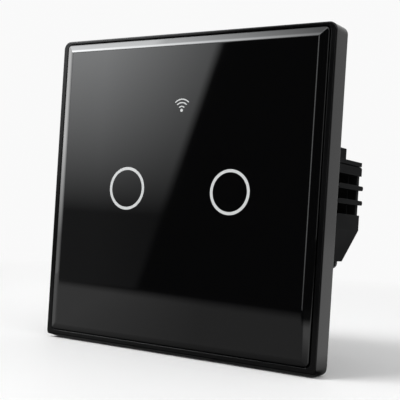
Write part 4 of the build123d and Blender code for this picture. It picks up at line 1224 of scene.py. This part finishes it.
@dataclass
class Studio:
    """Pale floor, black flag with soft windows, side card, lamps and a white world."""

    floor_size: float = 8.0
    backdrop: float = 0.95
    floor_tone: float = 0.865
    floor_roughness: float = 0.6
    floor_shine: float = 0.2
    floor_fade: Place = (0.14, 0.5)
    # Painted shadow on the mirrored floor at the panel's foot: where it lies, its reach and its level.
    foot_y: float = -4.0
    foot_reach: Place = (3.0, 9.0)
    foot_shadow_level: float = 0.06
    plain_level: float = 0.62
    flag_base: float = 0.025
    flag_colour: Colour = (0.985, 1.0, 1.01)
    roof_level: float = 0.02
    front: float = -190.0
    left: float = -330.0
    right: float = 260.0
    back: float = 260.0
    top: float = 460.0
    lamps: tuple[Lamp, ...] = (
        Lamp("key", (-0.55, -0.75, 0.85), size=0.7, power=12.0),
        Lamp("fill", (0.9, -0.5, 0.6), size=0.9, power=3.0),
    )

    def build(self, floor_height: float) -> None:
        """Set the stage.

        Args:
            floor_height: Height of the floor, in millimetres.
        """
        self.floor(floor_height)
        self.cards(floor_height)
        for lamp in self.lamps:
            lamp.build()
        self.world()
        bpy.context.scene.view_settings.view_transform = "Standard"

    def floor(self, height: float) -> None:
        """Pale floor: it fades to the backdrop's white far away, and glossy rays see a painted reflection of
        it, dimmer, set by place instead of by the lamps.
        """
        material, sheet = blank_material("pale_floor")
        tone = {"Base Color": opaque((self.floor_tone,) * 3), "Roughness": self.floor_roughness}
        plain = sheet.node("BsdfPrincipled", {**tone, "Specular IOR Level": self.floor_shine})
        place = sheet.object_place()
        reach = sheet.node("VectorMath", {0: place}, operation="LENGTH").outputs["Value"]
        path = sheet.node("LightPath").outputs
        share = sheet.product(sheet.spread(reach, *self.floor_fade), path["Is Camera Ray"])
        white = sheet.node("Emission", {"Color": opaque((self.backdrop,) * 3)})
        seen = sheet.node("MixShader", {0: share, 1: plain.outputs[0], 2: white.outputs[0]})
        painted_floor_reflection = sheet.node("Emission", {"Strength": self.painted_reflection_level(sheet, place)})
        feeds = {0: path["Is Glossy Ray"], 1: seen.outputs[0], 2: painted_floor_reflection.outputs[0]}
        sheet.node("OutputMaterial", {"Surface": sheet.node("MixShader", feeds).outputs[0]})
        half = self.floor_size / 2 / MM
        corners = ((-half, -half, height), (half, -half, height), (half, half, height), (-half, half, height))
        Card("floor", corners, tuple(Ray)).build(material)

    def painted_reflection_level(self, sheet: Sheet, place: Socket) -> Socket:
        """Level of the floor's painted reflection for glossy rays, with a painted shadow at the panel's foot
        and painted shade towards the flag.
        """
        parts = sheet.node("SeparateXYZ", {0: place}).outputs
        level = sheet.math("MAXIMUM", FLOOR_REFLECTION_LEFT.at(sheet, parts), FLOOR_REFLECTION_RIGHT.at(sheet, parts))
        off_foot = sheet.math("ABSOLUTE", sheet.math("SUBTRACT", parts[1], self.foot_y * MM))
        near, far = (reach * MM for reach in self.foot_reach)
        # Painted shadow: near the panel's foot the mirrored floor darkens.
        foot = sheet.spread(off_foot, near, far, (self.foot_shadow_level, 1.0))
        return sheet.product(level, foot, FLOOR_SHADE_AT_FLAG.at(sheet, parts))

    def cards(self, low: float) -> None:
        """Flag before the glass, side card at its left and black cloth over them."""
        left, right, front, back, top = self.left, self.right, self.front, self.back, self.top
        flag = ((left, front, low), (right, front, low), (right, front, top), (left, front, top))
        side = ((left, front, low), (left, front, top), (left, back, top), (left, back, low))
        roof = ((left, front, top), (right, front, top), (right, back, top), (left, back, top))
        windows = (FACE_WINDOW, SIDE_STRIP, TOP_STRIP, UPRIGHT_STRIP)
        Card("flag", flag).build(glow_material("flag_window", windows, self.flag_base, self.flag_colour))
        Card("side_card", side).build(glow_material("side_window", (SIDE_CARD,)))
        Card("roof", roof).build(glow_material("black_cloth", base=self.roof_level))

    def world(self) -> None:
        """White for camera, glossy and transmission rays; a plain level for the rest."""
        world = bpy.data.worlds.new("studio")
        world.use_nodes = True
        bpy.context.scene.world = world
        sheet = Sheet(world.node_tree)
        path = sheet.node("LightPath").outputs
        seen = sheet.math("MAXIMUM", path["Is Glossy Ray"], path["Is Transmission Ray"])
        seen = sheet.math("MAXIMUM", seen, sheet.product(path["Is Camera Ray"], self.backdrop))
        strength = sheet.math("MAXIMUM", seen, self.plain_level)
        shade = sheet.node("Background", {"Color": opaque((1.0, 1.0, 1.0)), "Strength": strength})
        sheet.node("OutputWorld", {"Surface": shade.outputs[0]})


@dataclass
class Viewpoint:
    """Camera at the photograph's viewing angle, from the fitted view of the panel's corners."""

    azimuth: float = math.radians(33.402)
    elevation: float = math.radians(0.118)
    roll: float = math.radians(3.609)
    side: float = 2.751
    rise: float = -8.542
    distance: float = 235.268
    lip_depth: float = -6.75
    focal_pixels: float = 886.0
    frame_pixels: float = 400.0
    centre_pixels: Place = (-14.326, 26.893)
    sensor: float = 36.0
    near_clip: float = 10.0

    def build(self) -> Object:
        """Make the camera and give it to the scene."""
        sin_a, cos_a = math.sin(self.azimuth), math.cos(self.azimuth)
        sin_e, cos_e = math.sin(self.elevation), math.cos(self.elevation)
        back = Vector((sin_a * cos_e, -cos_a * cos_e, sin_e))
        right = Vector((cos_a, sin_a, 0.0))
        up = back.cross(right)
        place = back * self.distance + right * self.side + up * self.rise + Vector((0, self.lip_depth, 0))
        turned_right = right * math.cos(self.roll) + up * math.sin(self.roll)
        turned_up = up * math.cos(self.roll) - right * math.sin(self.roll)
        data = bpy.data.cameras.new("view")
        data.sensor_width = self.sensor
        data.lens = self.focal_pixels / self.frame_pixels * self.sensor
        data.shift_x = -self.centre_pixels[0] / self.frame_pixels
        data.shift_y = self.centre_pixels[1] / self.frame_pixels
        data.clip_start = self.near_clip * MM
        camera = add_object("view", data)
        axes = Matrix((turned_right, turned_up, back)).transposed().to_4x4()
        camera.matrix_world = Matrix.Translation(place * MM) @ axes
        bpy.context.scene.camera = camera
        return camera


class TouchSwitch:
    """The whole switch: dresses the frame's nodes and adds the pieces that the looks need."""

    def __init__(self, frame: dict) -> None:
        """Keep the frame and make the shared effects.

        Args:
            frame: What the frame's loading returned.
        """
        self.frame = frame
        self.workshop = Workshop(Effects())

    def dress_nodes(self) -> None:
        """Give every node the finish of its slot in the record."""
        for row in self.frame["record"]["subparts"]:
            self.workshop.dress(self.frame["nodes"][row["node"]], row["material_slot"])
            LOG.info("dressed %s as %s", row["node"], row["material_slot"])

    def add_pieces(self) -> None:
        """Build the new pieces and report each."""
        for maker in (GlassMarks(), Fasteners(), SolderJoints()):
            for piece in maker.build(self.workshop):
                LOG.info("added %s with %d faces", piece.name, len(piece.data.polygons))


def main() -> None:
    """Load the frame, dress it, and set the stage and the camera."""
    logging.basicConfig(level=logging.INFO, format="%(name)s: %(message)s")
    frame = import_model()
    cad_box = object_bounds()
    switch = TouchSwitch(frame)
    switch.dress_nodes()
    switch.add_pieces()
    Studio().build(cad_box[0].z / MM)
    Viewpoint().build()


if __name__ == "__main__":
    main()
